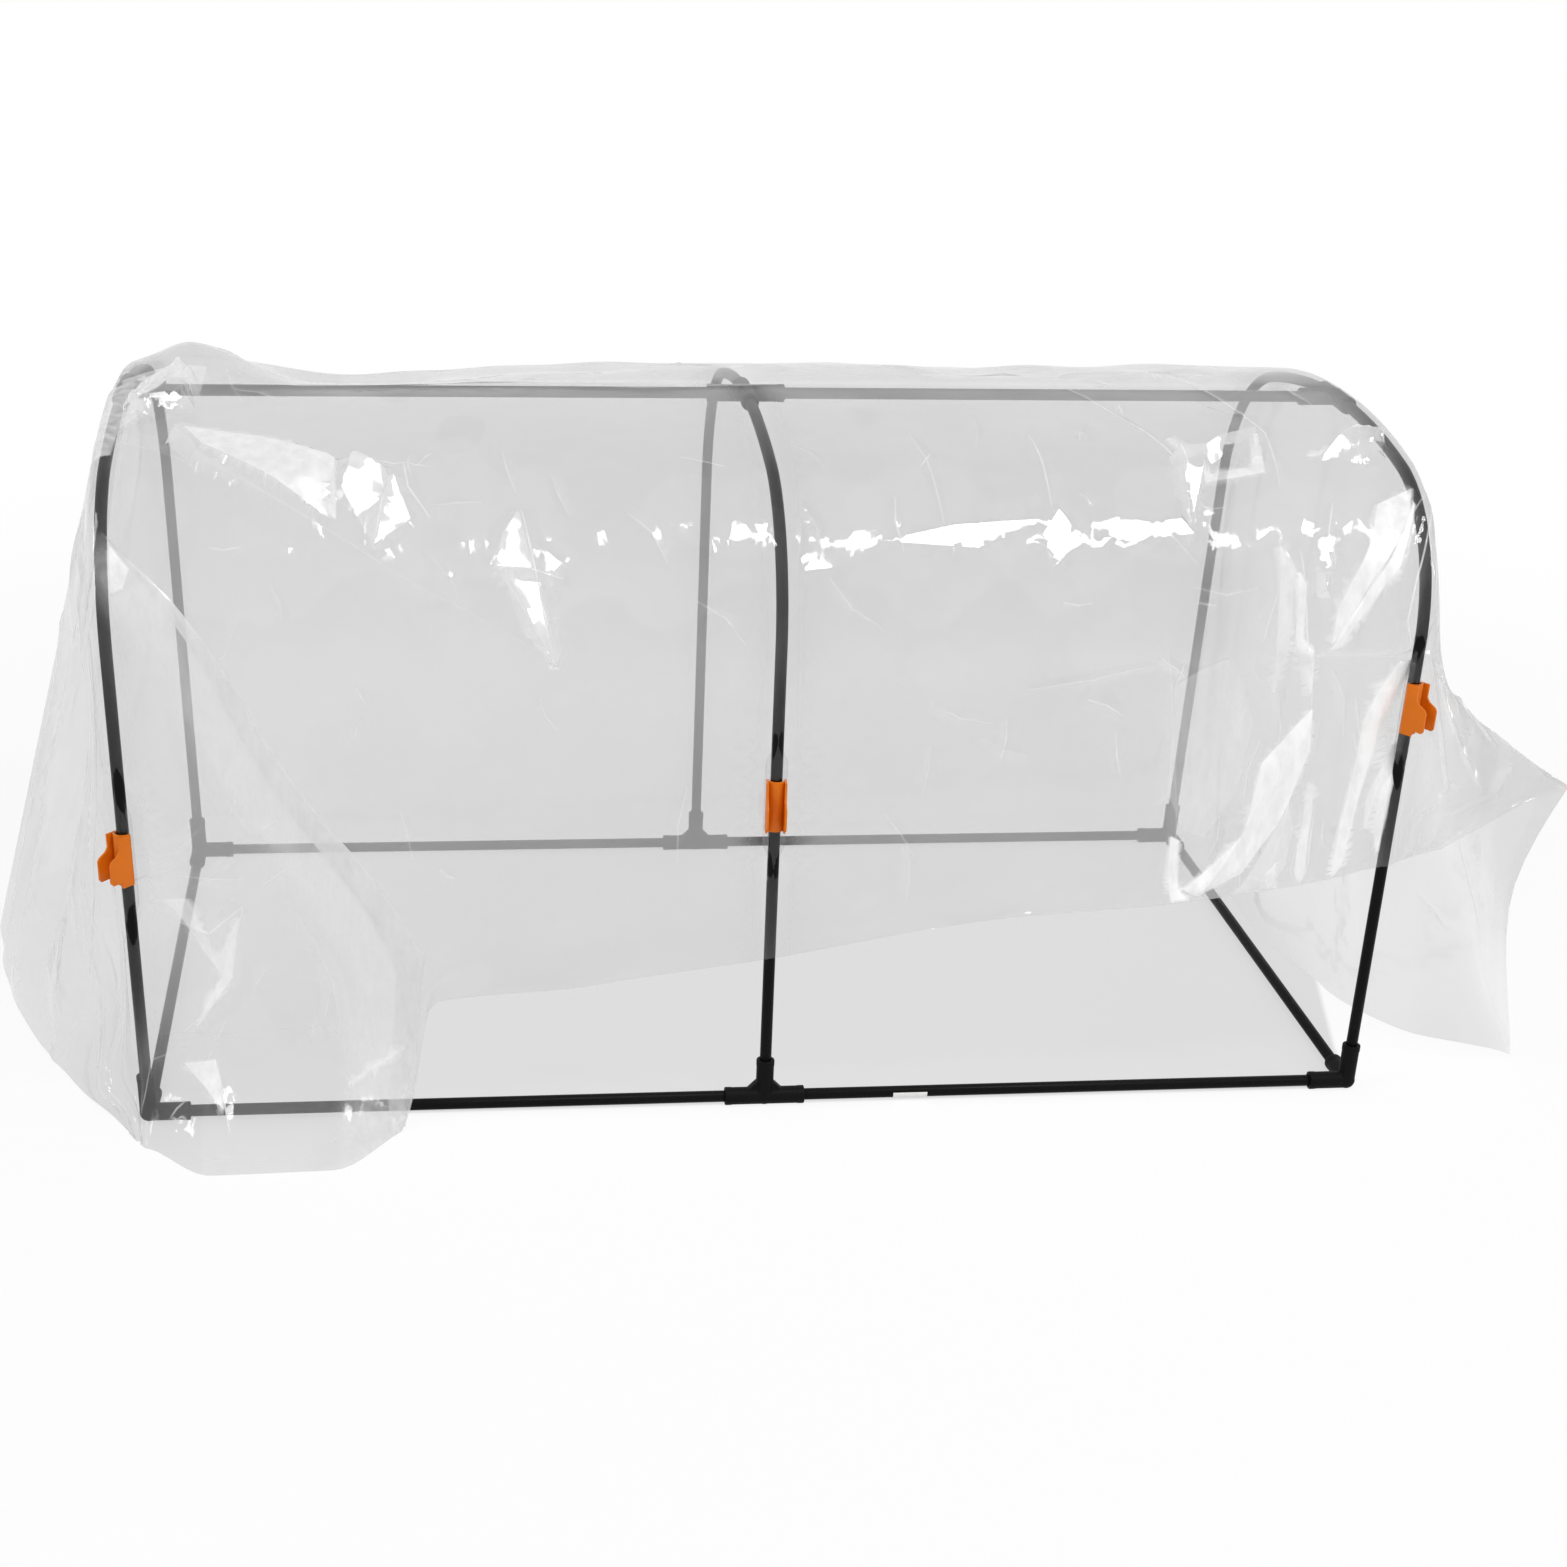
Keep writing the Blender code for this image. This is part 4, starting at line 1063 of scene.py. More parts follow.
def draped_sheet():
    """The whole film as a function from places on the flat sheet to points in the room."""
    rows = film_rows()
    columns = film_columns()
    across = np.array([column[2] for column in columns])
    along = np.array([row[3] for row in rows])
    grid = np.empty((len(rows), len(columns), 3))
    for number, row in enumerate(rows):
        for place, (kind, value, _) in enumerate(columns):
            if kind == "bay":
                grid[number, place] = sheet_row_point(value, row)
            else:
                grid[number, place] = end_point(kind, row, number, len(rows), value)
    row_slopes = steady_slopes(along, grid)

    def surface(u, v):
        points = np.empty((len(u), 3))
        for start in range(0, len(u), 8000):
            part = slice(start, start + 8000)
            lines = smooth_between(along, grid, row_slopes, v[part], lambda a, i: a[i]).transpose(1, 0, 2)
            slopes = steady_slopes(across, lines)
            own = np.arange(lines.shape[1])
            points[part] = smooth_between(across, lines, slopes, u[part], lambda a, i: a[i, own])
        return points

    return surface, across, along


def step_up(value, low, high):
    share = np.clip((value - low) / (high - low), 0, 1)
    return share * share * (3 - 2 * share)


def fold_line(v):
    """Place of the corner fold's edge and the depth of its tuck."""
    runs = [run for run, _ in CORNER_FOLD]
    edge = np.interp(v, runs, [values[0] for _, values in CORNER_FOLD]) - BAY
    return edge, np.interp(v, runs, [values[1] for _, values in CORNER_FOLD])


def lay_on_sheet(place, v):
    """Where a place on the tucked sheet lies on the sheet below it, and how many plies up."""
    edge, tuck = fold_line(v)
    inner = edge - tuck
    first = np.clip((inner - place) / 0.004 + 0.5, 0, 1)
    second = np.clip((inner - tuck - place) / 0.004 + 0.5, 0, 1)
    u = np.where(place >= inner, place, np.where(place >= inner - tuck, 2 * inner - place, place + 2 * tuck))
    plies = (first + second) * np.clip(tuck / 0.012, 0, 1) * (1 - step_up(inner - u, 0.002, 0.060))
    return u, plies


def folded_place(x, v):
    """The place on the sheet of a point seen at x on the front, on its outermost ply."""
    edge, tuck = fold_line(v)
    return x - 2 * float(tuck) if x < edge else x


def sheet_run(x, run):
    """The sheet's own run where the front of the film is a given run down from the ridge."""
    station = min(1.0, max(-1.0, x / BAY))
    top = leg_run(LEG_TOP)
    if run <= top or abs(x) > BAY:
        return run
    height = LEG_TOP - (run - top) * math.cos(LEG_SPLAY)
    above = between_hoops(ROW_ABOVE_CLIP, station)
    below = between_hoops(ROW_BELOW_CLIP, station)
    hem = read_along(FRONT_HEM, station)[2]
    last = leg_run(ROW_BELOW_CLIP["middle"])
    # The rows between the hem and the clips, as shares of the way up
    heights = [hem] + [hem + share * (below - hem) for share in (0.145, 0.411)] + [below, above, LEG_TOP]
    runs = [last + share * HEM_LENGTH for share in (0.96, 0.75, 0.45, 0.0)]
    runs += [leg_run(ROW_ABOVE_CLIP["middle"]), top]
    return float(np.interp(height, heights, runs))


def on_film(outline):
    """Places on the tucked sheet of an outline given as it is seen on the front."""
    places = [(x, sheet_run(x, run)) for x, run in outline]
    return np.array([(folded_place(x, v), v) for x, v in places])


# Creases, in metres: places across (x) and down the front (run from the ridge)

def crease_and_sheen(points, width, rise, white=0.5):
    """A fold line: half its width, its height and how white its edge is, part whitening of the film and part
    painted highlight.
    """
    places = [(x, sheet_run(x, run)) for x, run in points]
    line = [(folded_place(x, v), v) for x, v in places]
    return {"line": line, "width": width, "rise": rise, "white": white}


CREASES = [
    # Ridge and crown
    crease_and_sheen([(-0.569, 0.158), (-0.545, 0.070), (-0.519, 0.010)], 0.012, 0.0040, 0.7),
    crease_and_sheen([(-0.500, 0.030), (-0.250, 0.012), (-0.080, 0.006)], 0.010, 0.0026, 0.3),
    crease_and_sheen([(-0.300, 0.004), (-0.100, 0.030), (0.020, 0.010)], 0.009, 0.0022, 0.4),
    crease_and_sheen([(-0.586, 0.164), (-0.314, 0.332), (-0.197, 0.396)], 0.026, 0.0050, 0.12),
    # Thin creases down the right bay
    crease_and_sheen([(0.130, 0.142), (0.137, 0.215), (0.143, 0.289)], 0.006, 0.0014, 0.25),
    crease_and_sheen([(0.237, 0.157), (0.238, 0.210), (0.239, 0.265)], 0.006, 0.0018, 0.5),
    crease_and_sheen([(0.300, 0.010), (0.362, 0.199), (0.366, 0.280)], 0.006, 0.0016, 0.7),
    crease_and_sheen([(0.420, -0.060), (0.459, 0.149), (0.448, 0.242)], 0.006, 0.0014, 0.6),
    # Fan from the right shoulder
    crease_and_sheen([(0.584, 0.242), (0.532, 0.316), (0.480, 0.391)], 0.012, 0.0050, 0.6),
    crease_and_sheen([(0.586, 0.254), (0.562, 0.328), (0.538, 0.401)], 0.011, 0.0046, 0.8),
    crease_and_sheen([(0.539, 0.411), (0.535, 0.512), (0.530, 0.613)], 0.010, 0.0040, 0.9),
    crease_and_sheen([(0.561, 0.396), (0.560, 0.450), (0.565, 0.498), (0.580, 0.584)], 0.009, 0.0036, 0.7),
    crease_and_sheen([(0.458, 0.303), (0.471, 0.396), (0.481, 0.458)], 0.010, 0.0040, 0.8),
    crease_and_sheen([(0.338, 0.368), (0.373, 0.575), (0.375, 0.636)], 0.008, 0.0026, 0.3),
    crease_and_sheen([(0.335, 0.395), (0.348, 0.405), (0.361, 0.419)], 0.009, 0.0030, 0.9),
    crease_and_sheen([(0.218, 0.427), (0.280, 0.418), (0.336, 0.404)], 0.009, 0.0024, 0.5),
    crease_and_sheen([(0.274, 0.440), (0.292, 0.446), (0.311, 0.459)], 0.009, 0.0026, 0.7),
    crease_and_sheen([(0.454, 0.497), (0.430, 0.570), (0.395, 0.634)], 0.012, 0.0050, 0.5),
    crease_and_sheen([(0.483, 0.458), (0.470, 0.540), (0.464, 0.627)], 0.012, 0.0050, 0.6),
    crease_and_sheen([(0.497, 0.537), (0.502, 0.590), (0.500, 0.640)], 0.010, 0.0040, 0.6),
    # Face of the corner fold at the left
    crease_and_sheen([(-0.532, 0.596), (-0.474, 0.603)], 0.010, 0.0026, 0.3),
    crease_and_sheen([(-0.533, 0.642), (-0.507, 0.653), (-0.475, 0.629)], 0.010, 0.0034, 0.9),
    crease_and_sheen([(-0.475, 0.629), (-0.494, 0.703), (-0.537, 0.737)], 0.010, 0.0036, 0.5),
    crease_and_sheen([(-0.511, 0.763), (-0.500, 0.814)], 0.010, 0.0030, 0.8),
    crease_and_sheen([(-0.519, 0.420), (-0.480, 0.520), (-0.420, 0.640)], 0.014, 0.0026, 0.2),
    crease_and_sheen([(-0.440, 0.620), (-0.400, 0.700), (-0.385, 0.790)], 0.012, 0.0026, 0.25),
    # Crumple tips in the left bay
    crease_and_sheen([(-0.223, 0.265), (-0.213, 0.320), (-0.200, 0.396)], 0.013, 0.0050, 0.8),
    crease_and_sheen([(-0.249, 0.315), (-0.222, 0.318), (-0.188, 0.328)], 0.011, 0.0040, 0.8),
    crease_and_sheen([(-0.345, 0.215), (-0.338, 0.250), (-0.348, 0.304)], 0.012, 0.0040, 0.7),
    crease_and_sheen([(-0.322, 0.215), (-0.318, 0.245), (-0.300, 0.275)], 0.010, 0.0036, 0.7),
    crease_and_sheen([(-0.300, 0.262), (-0.255, 0.258)], 0.008, 0.0020, 0.3),
    # Left curtain
    crease_and_sheen([(-0.600, 0.300), (-0.700, 0.420), (-0.850, 0.520)], 0.012, 0.0040, 0.4),
    crease_and_sheen([(-0.605, 0.420), (-0.720, 0.520), (-0.900, 0.560)], 0.012, 0.0040, 0.5),
    crease_and_sheen([(-0.610, 0.520), (-0.690, 0.640), (-0.850, 0.700)], 0.012, 0.0040, 0.6),
    crease_and_sheen([(-0.620, 0.180), (-0.760, 0.260), (-0.980, 0.290)], 0.012, 0.0040, 0.4),
    crease_and_sheen([(-0.760, 0.480), (-0.900, 0.640)], 0.010, 0.0030, 0.5),
    # Right curtain
    crease_and_sheen([(0.605, 0.300), (0.720, 0.420), (0.880, 0.500)], 0.012, 0.0040, 0.6),
    crease_and_sheen([(0.605, 0.380), (0.700, 0.500), (0.860, 0.640)], 0.012, 0.0046, 0.7),
    crease_and_sheen([(0.610, 0.440), (0.700, 0.560), (0.760, 0.700)], 0.012, 0.0040, 0.8),
    crease_and_sheen([(0.620, 0.220), (0.760, 0.300), (0.960, 0.330)], 0.012, 0.0040, 0.5),
    crease_and_sheen([(0.780, 0.420), (0.900, 0.520)], 0.010, 0.0030, 0.6),
]


def scattered_creases():
    """Short fine creases all over the film, closer together where it is gathered."""
    chance = np.random.default_rng(7)
    made = []
    regions = [
        # Left and right bound, upper and lower bound, how many, main direction in degrees, spread
        ((-0.52, 0.54), (-0.25, 0.24), 26, 80, 70), ((-0.52, 0.50), (0.24, 0.36), 22, 60, 80),
        ((0.40, 0.56), (0.36, 0.62), 22, 85, 18), ((-0.54, -0.40), (0.50, 0.80), 14, 110, 50),
        ((-0.95, -0.62), (0.10, 0.80), 34, 150, 35), ((0.62, 0.98), (0.10, 0.75), 36, 35, 35),
        ((-0.40, 0.38), (0.40, 0.60), 14, 70, 60), ((-0.95, -0.62), (-0.75, 0.05), 22, 30, 35),
        ((0.62, 0.98), (-0.75, 0.05), 22, 150, 35), ((-0.50, 0.50), (-0.75, -0.25), 40, 80, 60),
    ]
    for across, down, count, lie, spread in regions:
        for _ in range(count):
            start = np.array((chance.uniform(*across), chance.uniform(*down)))
            angle = math.radians(lie + chance.uniform(-spread, spread))
            length = chance.uniform(0.018, 0.075)
            way = np.array((math.cos(angle), math.sin(angle)))
            bow = np.array((-way[1], way[0])) * length * chance.uniform(-0.12, 0.12)
            points = [tuple(start), tuple(start + way * length / 2 + bow), tuple(start + way * length)]
            made.append(crease_and_sheen(points, chance.uniform(0.004, 0.008), chance.uniform(0.0008, 0.0022),
                               chance.uniform(0.1, 0.6) ** 1.3))
    return made


CREASES += scattered_creases()

# Flat panels that mirror the key lamp to the photograph's camera: outline and width of the easing
PANELS = [
    ([(-0.507, 0.181), (-0.438, 0.202), (-0.380, 0.224), (-0.386, 0.276), (-0.424, 0.251),
                 (-0.490, 0.210)], 0.014),
    ([(-0.364, 0.219), (-0.341, 0.229), (-0.338, 0.252), (-0.361, 0.276), (-0.374, 0.250)], 0.007),
    ([(-0.330, 0.240), (-0.316, 0.276), (-0.348, 0.300), (-0.336, 0.262)], 0.007),
    ([(-0.226, 0.270), (-0.216, 0.318), (-0.246, 0.317), (-0.239, 0.290)], 0.008),
    ([(-0.233, 0.330), (-0.211, 0.330), (-0.198, 0.392), (-0.213, 0.370)], 0.006),
    ([(-0.208, 0.300), (-0.190, 0.314), (-0.202, 0.326)], 0.006),
    ([(0.019, 0.263), (0.049, 0.318), (0.012, 0.322)], 0.008),
    ([(0.085, 0.296), (0.150, 0.282), (0.236, 0.276), (0.170, 0.302)], 0.007),
    ([(0.244, 0.268), (0.262, 0.296), (0.236, 0.318), (0.228, 0.290)], 0.007),
    ([(0.268, 0.284), (0.351, 0.279), (0.361, 0.292), (0.300, 0.298)], 0.006),
    ([(0.363, 0.206), (0.384, 0.206), (0.376, 0.234), (0.361, 0.280), (0.360, 0.238)], 0.006),
    ([(0.385, 0.198), (0.440, 0.172), (0.436, 0.190), (0.392, 0.212)], 0.006),
    ([(0.500, 0.198), (0.532, 0.172), (0.556, 0.172), (0.532, 0.214)], 0.008),
    ([(0.472, 0.293), (0.490, 0.291), (0.477, 0.338)], 0.006),
    ([(-0.560, 0.100), (-0.519, 0.024), (-0.516, 0.100)], 0.008),
]

# Doubled-over folds with painted highlight, also whitened where they are pressed together: outline and
# whiteness
PATCHES = [
    ([(0.533, 0.262), (0.568, 0.243), (0.557, 0.279), (0.517, 0.335), (0.489, 0.379), (0.493, 0.351),
      (0.521, 0.302)], 0.75),
    ([(0.566, 0.262), (0.547, 0.319), (0.506, 0.365), (0.479, 0.396), (0.497, 0.365), (0.541, 0.310)], 1.0),
    ([(0.456, 0.324), (0.462, 0.335), (0.461, 0.373), (0.473, 0.390), (0.478, 0.444), (0.466, 0.414),
      (0.457, 0.373)], 0.9),
    ([(0.542, 0.414), (0.549, 0.414), (0.537, 0.469), (0.533, 0.593), (0.527, 0.609), (0.526, 0.555),
      (0.530, 0.469)], 1.0),
    ([(0.440, 0.300), (0.452, 0.318), (0.449, 0.400), (0.444, 0.440), (0.441, 0.380)], 0.45),
    ([(0.556, 0.404), (0.563, 0.414), (0.561, 0.469), (0.566, 0.540), (0.562, 0.584), (0.556, 0.560),
      (0.553, 0.469)], 0.75),
    ([(0.545, 0.493), (0.551, 0.487), (0.551, 0.543), (0.548, 0.562), (0.545, 0.540)], 0.7),
    ([(0.441, 0.504), (0.481, 0.459), (0.483, 0.492), (0.475, 0.517), (0.462, 0.560), (0.440, 0.600),
      (0.400, 0.622), (0.388, 0.616), (0.433, 0.566)], 1.0),
    ([(0.352, 0.43), (0.398, 0.40), (0.428, 0.47), (0.420, 0.53), (0.398, 0.570), (0.378, 0.565),
      (0.360, 0.53)], 0.20),
    ([(0.470, 0.540), (0.481, 0.560), (0.481, 0.592), (0.469, 0.617),
      (0.436, 0.630), (0.455, 0.590)], 0.40),
    ([(0.367, 0.571), (0.375, 0.574), (0.382, 0.616), (0.393, 0.634), (0.377, 0.637)], 1.0),
    ([(0.462, 0.600), (0.470, 0.590), (0.476, 0.640), (0.468, 0.648)], 0.8),
    ([(0.488, 0.520), (0.493, 0.524), (0.500, 0.600), (0.498, 0.640), (0.492, 0.600)], 0.8),
    ([(0.775, 0.392), (0.800, 0.398), (0.812, 0.416), (0.790, 0.408)], 0.85),
    ([(0.742, 0.362), (0.760, 0.366), (0.792, 0.384), (0.768, 0.380)], 0.7),
    ([(0.820, 0.372), (0.842, 0.376), (0.838, 0.392)], 0.9),
    ([(0.880, 0.352), (0.905, 0.362), (0.886, 0.366)], 0.6),
    ([(0.900, 0.398), (0.935, 0.404), (0.960, 0.424), (0.925, 0.414)], 0.5),
    ([(-0.745, 0.180), (-0.760, 0.190), (-0.790, 0.200), (-0.768, 0.184)], 0.9),
    ([(-0.800, 0.215), (-0.830, 0.225), (-0.812, 0.232)], 0.7),
    ([(-0.700, 0.262), (-0.735, 0.272), (-0.760, 0.290), (-0.722, 0.280)], 0.7),
    ([(-1.040, 0.330), (-1.070, 0.340), (-1.050, 0.352)], 0.9),
    ([(-0.860, 0.300), (-0.900, 0.306), (-0.930, 0.330), (-0.880, 0.318)], 0.5),
    ([(-0.660, 0.400), (-0.670, 0.420), (-0.700, 0.470), (-0.680, 0.440)], 0.6),
    ([(-0.592, 0.035), (-0.562, 0.030), (-0.564, 0.110), (-0.570, 0.200), (-0.588, 0.205)], 0.5),
    ([(0.368, 0.162), (0.385, 0.194), (0.378, 0.200), (0.362, 0.166)], 0.5),
    ([(0.436, 0.190), (0.446, 0.176), (0.438, 0.221), (0.378, 0.232), (0.380, 0.224), (0.430, 0.214)], 0.6),
    ([(0.486, 0.194), (0.530, 0.163), (0.560, 0.166), (0.530, 0.171), (0.496, 0.196)], 0.6),
    ([(-0.507, 0.181), (-0.438, 0.202), (-0.380, 0.224), (-0.380, 0.276),
      (-0.424, 0.251), (-0.490, 0.212)], 0.55),
    ([(-0.575, 0.012), (-0.500, 0.010), (-0.505, 0.050), (-0.530, 0.054),
      (-0.565, 0.150), (-0.566, 0.090)], 0.35),
    ([(-0.566, 0.300), (-0.552, 0.319), (-0.557, 0.334), (-0.566, 0.338)], 0.80),
    ([(-0.538, 0.622), (-0.524, 0.621), (-0.502, 0.683), (-0.480, 0.641), (-0.490, 0.692), (-0.525, 0.732),
      (-0.498, 0.692), (-0.512, 0.668)], 0.7),
    ([(-0.538, 0.766), (-0.512, 0.763), (-0.506, 0.797), (-0.526, 0.777)], 0.75),
    ([(-0.388, 0.781), (-0.336, 0.756), (-0.340, 0.764)], 0.7),
    ([(-0.226, 0.270), (-0.216, 0.318), (-0.198, 0.392), (-0.213, 0.370),
      (-0.246, 0.317), (-0.239, 0.290)], 0.30),
    ([(-0.364, 0.219), (-0.338, 0.229), (-0.318, 0.276), (-0.348, 0.300), (-0.372, 0.250)], 0.25),
]
RIM = 0.0018
CREASE_RIM = 0.0013
PANEL_RIM = 0.002
PANEL_HEIGHT = 0.018
PANEL_NEIGHBOURHOOD = 0.16
FOLD_LIFT = 0.0008
FOLD_FOOT = 0.004
TUCK_WHITENESS = 0.28


def inside_outline(places, corners):
    within = np.zeros(len(places), bool)
    for (x0, v0), (x1, v1) in zip(corners, np.roll(corners, -1, axis=0)):
        crosses = (v0 > places[:, 1]) != (v1 > places[:, 1])
        across = x0 + (places[:, 1] - v0) * (x1 - x0) / (v1 - v0 + 1e-12)
        within ^= crosses & (places[:, 0] < across)
    return within


def patch_lift(places, outline, whiteness):
    """Relief of a doubled-over fold, and its white: whitening of the pressed plies together with a painted
    highlight.
    """
    corners = on_film(outline)
    gap = distance_to_line(places, np.vstack([corners, corners[:1]]))[0]
    within = inside_outline(places, corners)
    foot = FOLD_LIFT * np.clip(1 - gap / FOLD_FOOT, 0, 1)
    lift = np.where(within, FOLD_LIFT + 0.22 * np.minimum(gap, 0.008), foot)
    return lift, whiteness * np.where(within, 1, np.clip(1 - gap / RIM, 0, 1))


def distance_to_line(places, line):
    """Distance of each place from a broken line, and how far along it that is, 0 to 1."""
    best = np.full(len(places), 1e9)
    share = np.zeros(len(places))
    line = np.array(line)
    lengths = np.linalg.norm(np.diff(line, axis=0), axis=1)
    total = lengths.sum()
    gone = 0.0
    for start, end, length in zip(line, line[1:], lengths):
        along = np.clip(((places - start) @ (end - start)) / length ** 2, 0, 1)
        gap = np.linalg.norm(places - start - along[:, None] * (end - start), axis=1)
        nearer = gap < best
        best = np.where(nearer, gap, best)
        share = np.where(nearer, (gone + along * length) / total, share)
        gone += length
    return best, share


def crease_lift(places, fold):
    """Height of a fold line and its white, whitening and painted highlight in one, both fading towards its
    ends.
    """
    gap, share = distance_to_line(places, fold["line"])
    tent = np.clip(1 - gap / fold["width"], 0, 1)
    taper = np.sqrt(np.clip(np.minimum(share, 1 - share) * 2, 0, 1))
    return fold["rise"] * tent * taper, fold["white"] * np.clip(1 - gap / CREASE_RIM, 0, 1) * taper


def panel_lift(places, outline, blend, surface, normal_at):
    """A flat panel turned to send the key lamp's light to the camera, eased into the film round it."""
    corners = on_film(outline)
    at = surface(corners[:, 0], corners[:, 1])
    out = normal_at(corners[:, 0], corners[:, 1])
    middle = at.mean(0)
    to_lamp = np.array(KEY_PLACE) - middle
    to_eye = np.array(CAMERA_PLACE) - middle
    half = to_lamp / np.linalg.norm(to_lamp) + to_eye / np.linalg.norm(to_eye)
    half /= np.linalg.norm(half)

    def to_plane(points, normals):
        return -((points - middle) @ half) / np.maximum(normals @ half, 0.3)

    corner_lifts = to_plane(at, out)
    raise_by = 0.0005 - corner_lifts.min()
    near = np.linalg.norm(places - corners.mean(0), axis=1) < PANEL_NEIGHBOURHOOD
    spots = places[near]
    inside = inside_outline(spots, corners)
    flat = to_plane(surface(spots[:, 0], spots[:, 1]), normal_at(spots[:, 0], spots[:, 1])) + raise_by
    closed = np.vstack([corners, corners[:1]])
    gap, share = distance_to_line(spots, closed)
    ring = np.linalg.norm(np.diff(closed, axis=0), axis=1)
    knots = np.concatenate([[0], np.cumsum(ring)]) / ring.sum()
    border = np.interp(share, knots, np.concatenate([corner_lifts, corner_lifts[:1]]) + raise_by)
    lift = np.zeros(len(places))
    lift[near] = np.where(inside, flat, border * np.clip(1 - gap / blend, 0, 1))
    calm = np.zeros(len(places))
    calm[near] = np.where(inside, 1, np.clip(1 - gap / PANEL_RIM, 0, 1))
    return np.clip(lift, 0, PANEL_HEIGHT), calm


def waves(u, v):
    """Broad slackness of the film, none over the hoops and the ridge."""
    bays = np.abs(np.sin(np.pi * np.clip(u / BAY, -1, 1)))
    slack = np.where(np.abs(u) < BAY, bays, 0.8 * step_up(np.abs(u) - BAY, 0.015, 0.09))
    ridge = step_up(np.abs(v), 0.02, 0.10)
    roll = (
        0.0022 * np.sin(u * 19 + v * 7 + 0.6)
        + 0.0016 * np.sin(u * 33 - v * 15 + 2.1)
        + 0.0011 * np.sin(u * 11 + v * 41 + 4.0)
        + 0.0008 * np.sin(u * 57 + v * 29 + 1.3)
    )
    return (roll - 0.0012) * slack * ridge


def held_by_clips(points, u, v, plies):
    """Wrap the film round each leg under its clip, and ease it back into the sheet round there."""
    for side in STATION:
        place = clip_frame(side)
        back = np.array(place.inverted())
        local = points @ back[:3, :3].T + back[:3, 3]
        centre = STATION[side] * BAY
        if side != "middle":
            centre += STATION[side] * FILM_REACH * abs(CLIP_TURN[side])
        q = u - centre
        far = np.abs(q)
        near = (v > 0) & (far < 0.06)
        height = local[:, 2]
        by_height = 1 - step_up(np.abs(height), CLIP_EDGE, CLIP_EDGE + WRAP_EASING)
        weight = np.where(near, by_height * (1 - step_up(far, 0.013, 0.050)), 0)
        reach = TUBE_RADIUS + WRAP_OFFSET + WRAP_PLY * plies
        quarter = reach * math.pi / 2
        angle = np.clip(q / reach, -math.pi / 2, math.pi / 2)
        past = np.maximum(far - quarter, 0)
        behind = np.minimum(past, WRAP_TUCK)
        out = np.maximum(past - WRAP_TUCK, 0)
        held = np.stack([
            reach * np.sin(angle) + np.sign(q) * out,
            reach * np.cos(angle) - behind,
            height,
        ], axis=1)
        forth = np.array(place)
        held = held @ forth[:3, :3].T + forth[:3, 3]
        points = points + (held - points) * weight[:, None]
    return points


def nearness_to_tubes(points):
    """1 where the film lies on a tube, falling off as it leaves it: haze only shows at a distance, and taking
    it away near the tubes also paints shade over them.
    """
    lines = []
    for station in (-1, 0, 1):
        for face in (FRONT, REAR):
            lines.append([hoop_point(station, face, run) for run in np.linspace(0, HALF_LENGTH, 30)])
    lines.append([hoop_point(station, FRONT, 0) for station in (-1, 0, 1)])
    corners = ((1, FRONT), (1, REAR), (-1, REAR), (-1, FRONT))
    base = [cover_point(station, face, HALF_DEPTH, 0) for station, face in corners]
    skirt = base[2:] + [cover_point(0, FRONT, HALF_DEPTH, 0)]
    touch = np.zeros(len(points))
    # The base rails and the front skirt reach further, for painted shade on the film over them
    for line, reach in [(line, 0.012) for line in lines] + [(base, 0.030), (skirt, 0.075)]:
        gap = distance_to_line(points, line)[0]
        touch = np.maximum(touch, 1 / (1 + (np.maximum(gap - TUBE_RADIUS, 0) / reach) ** 2))
    return touch


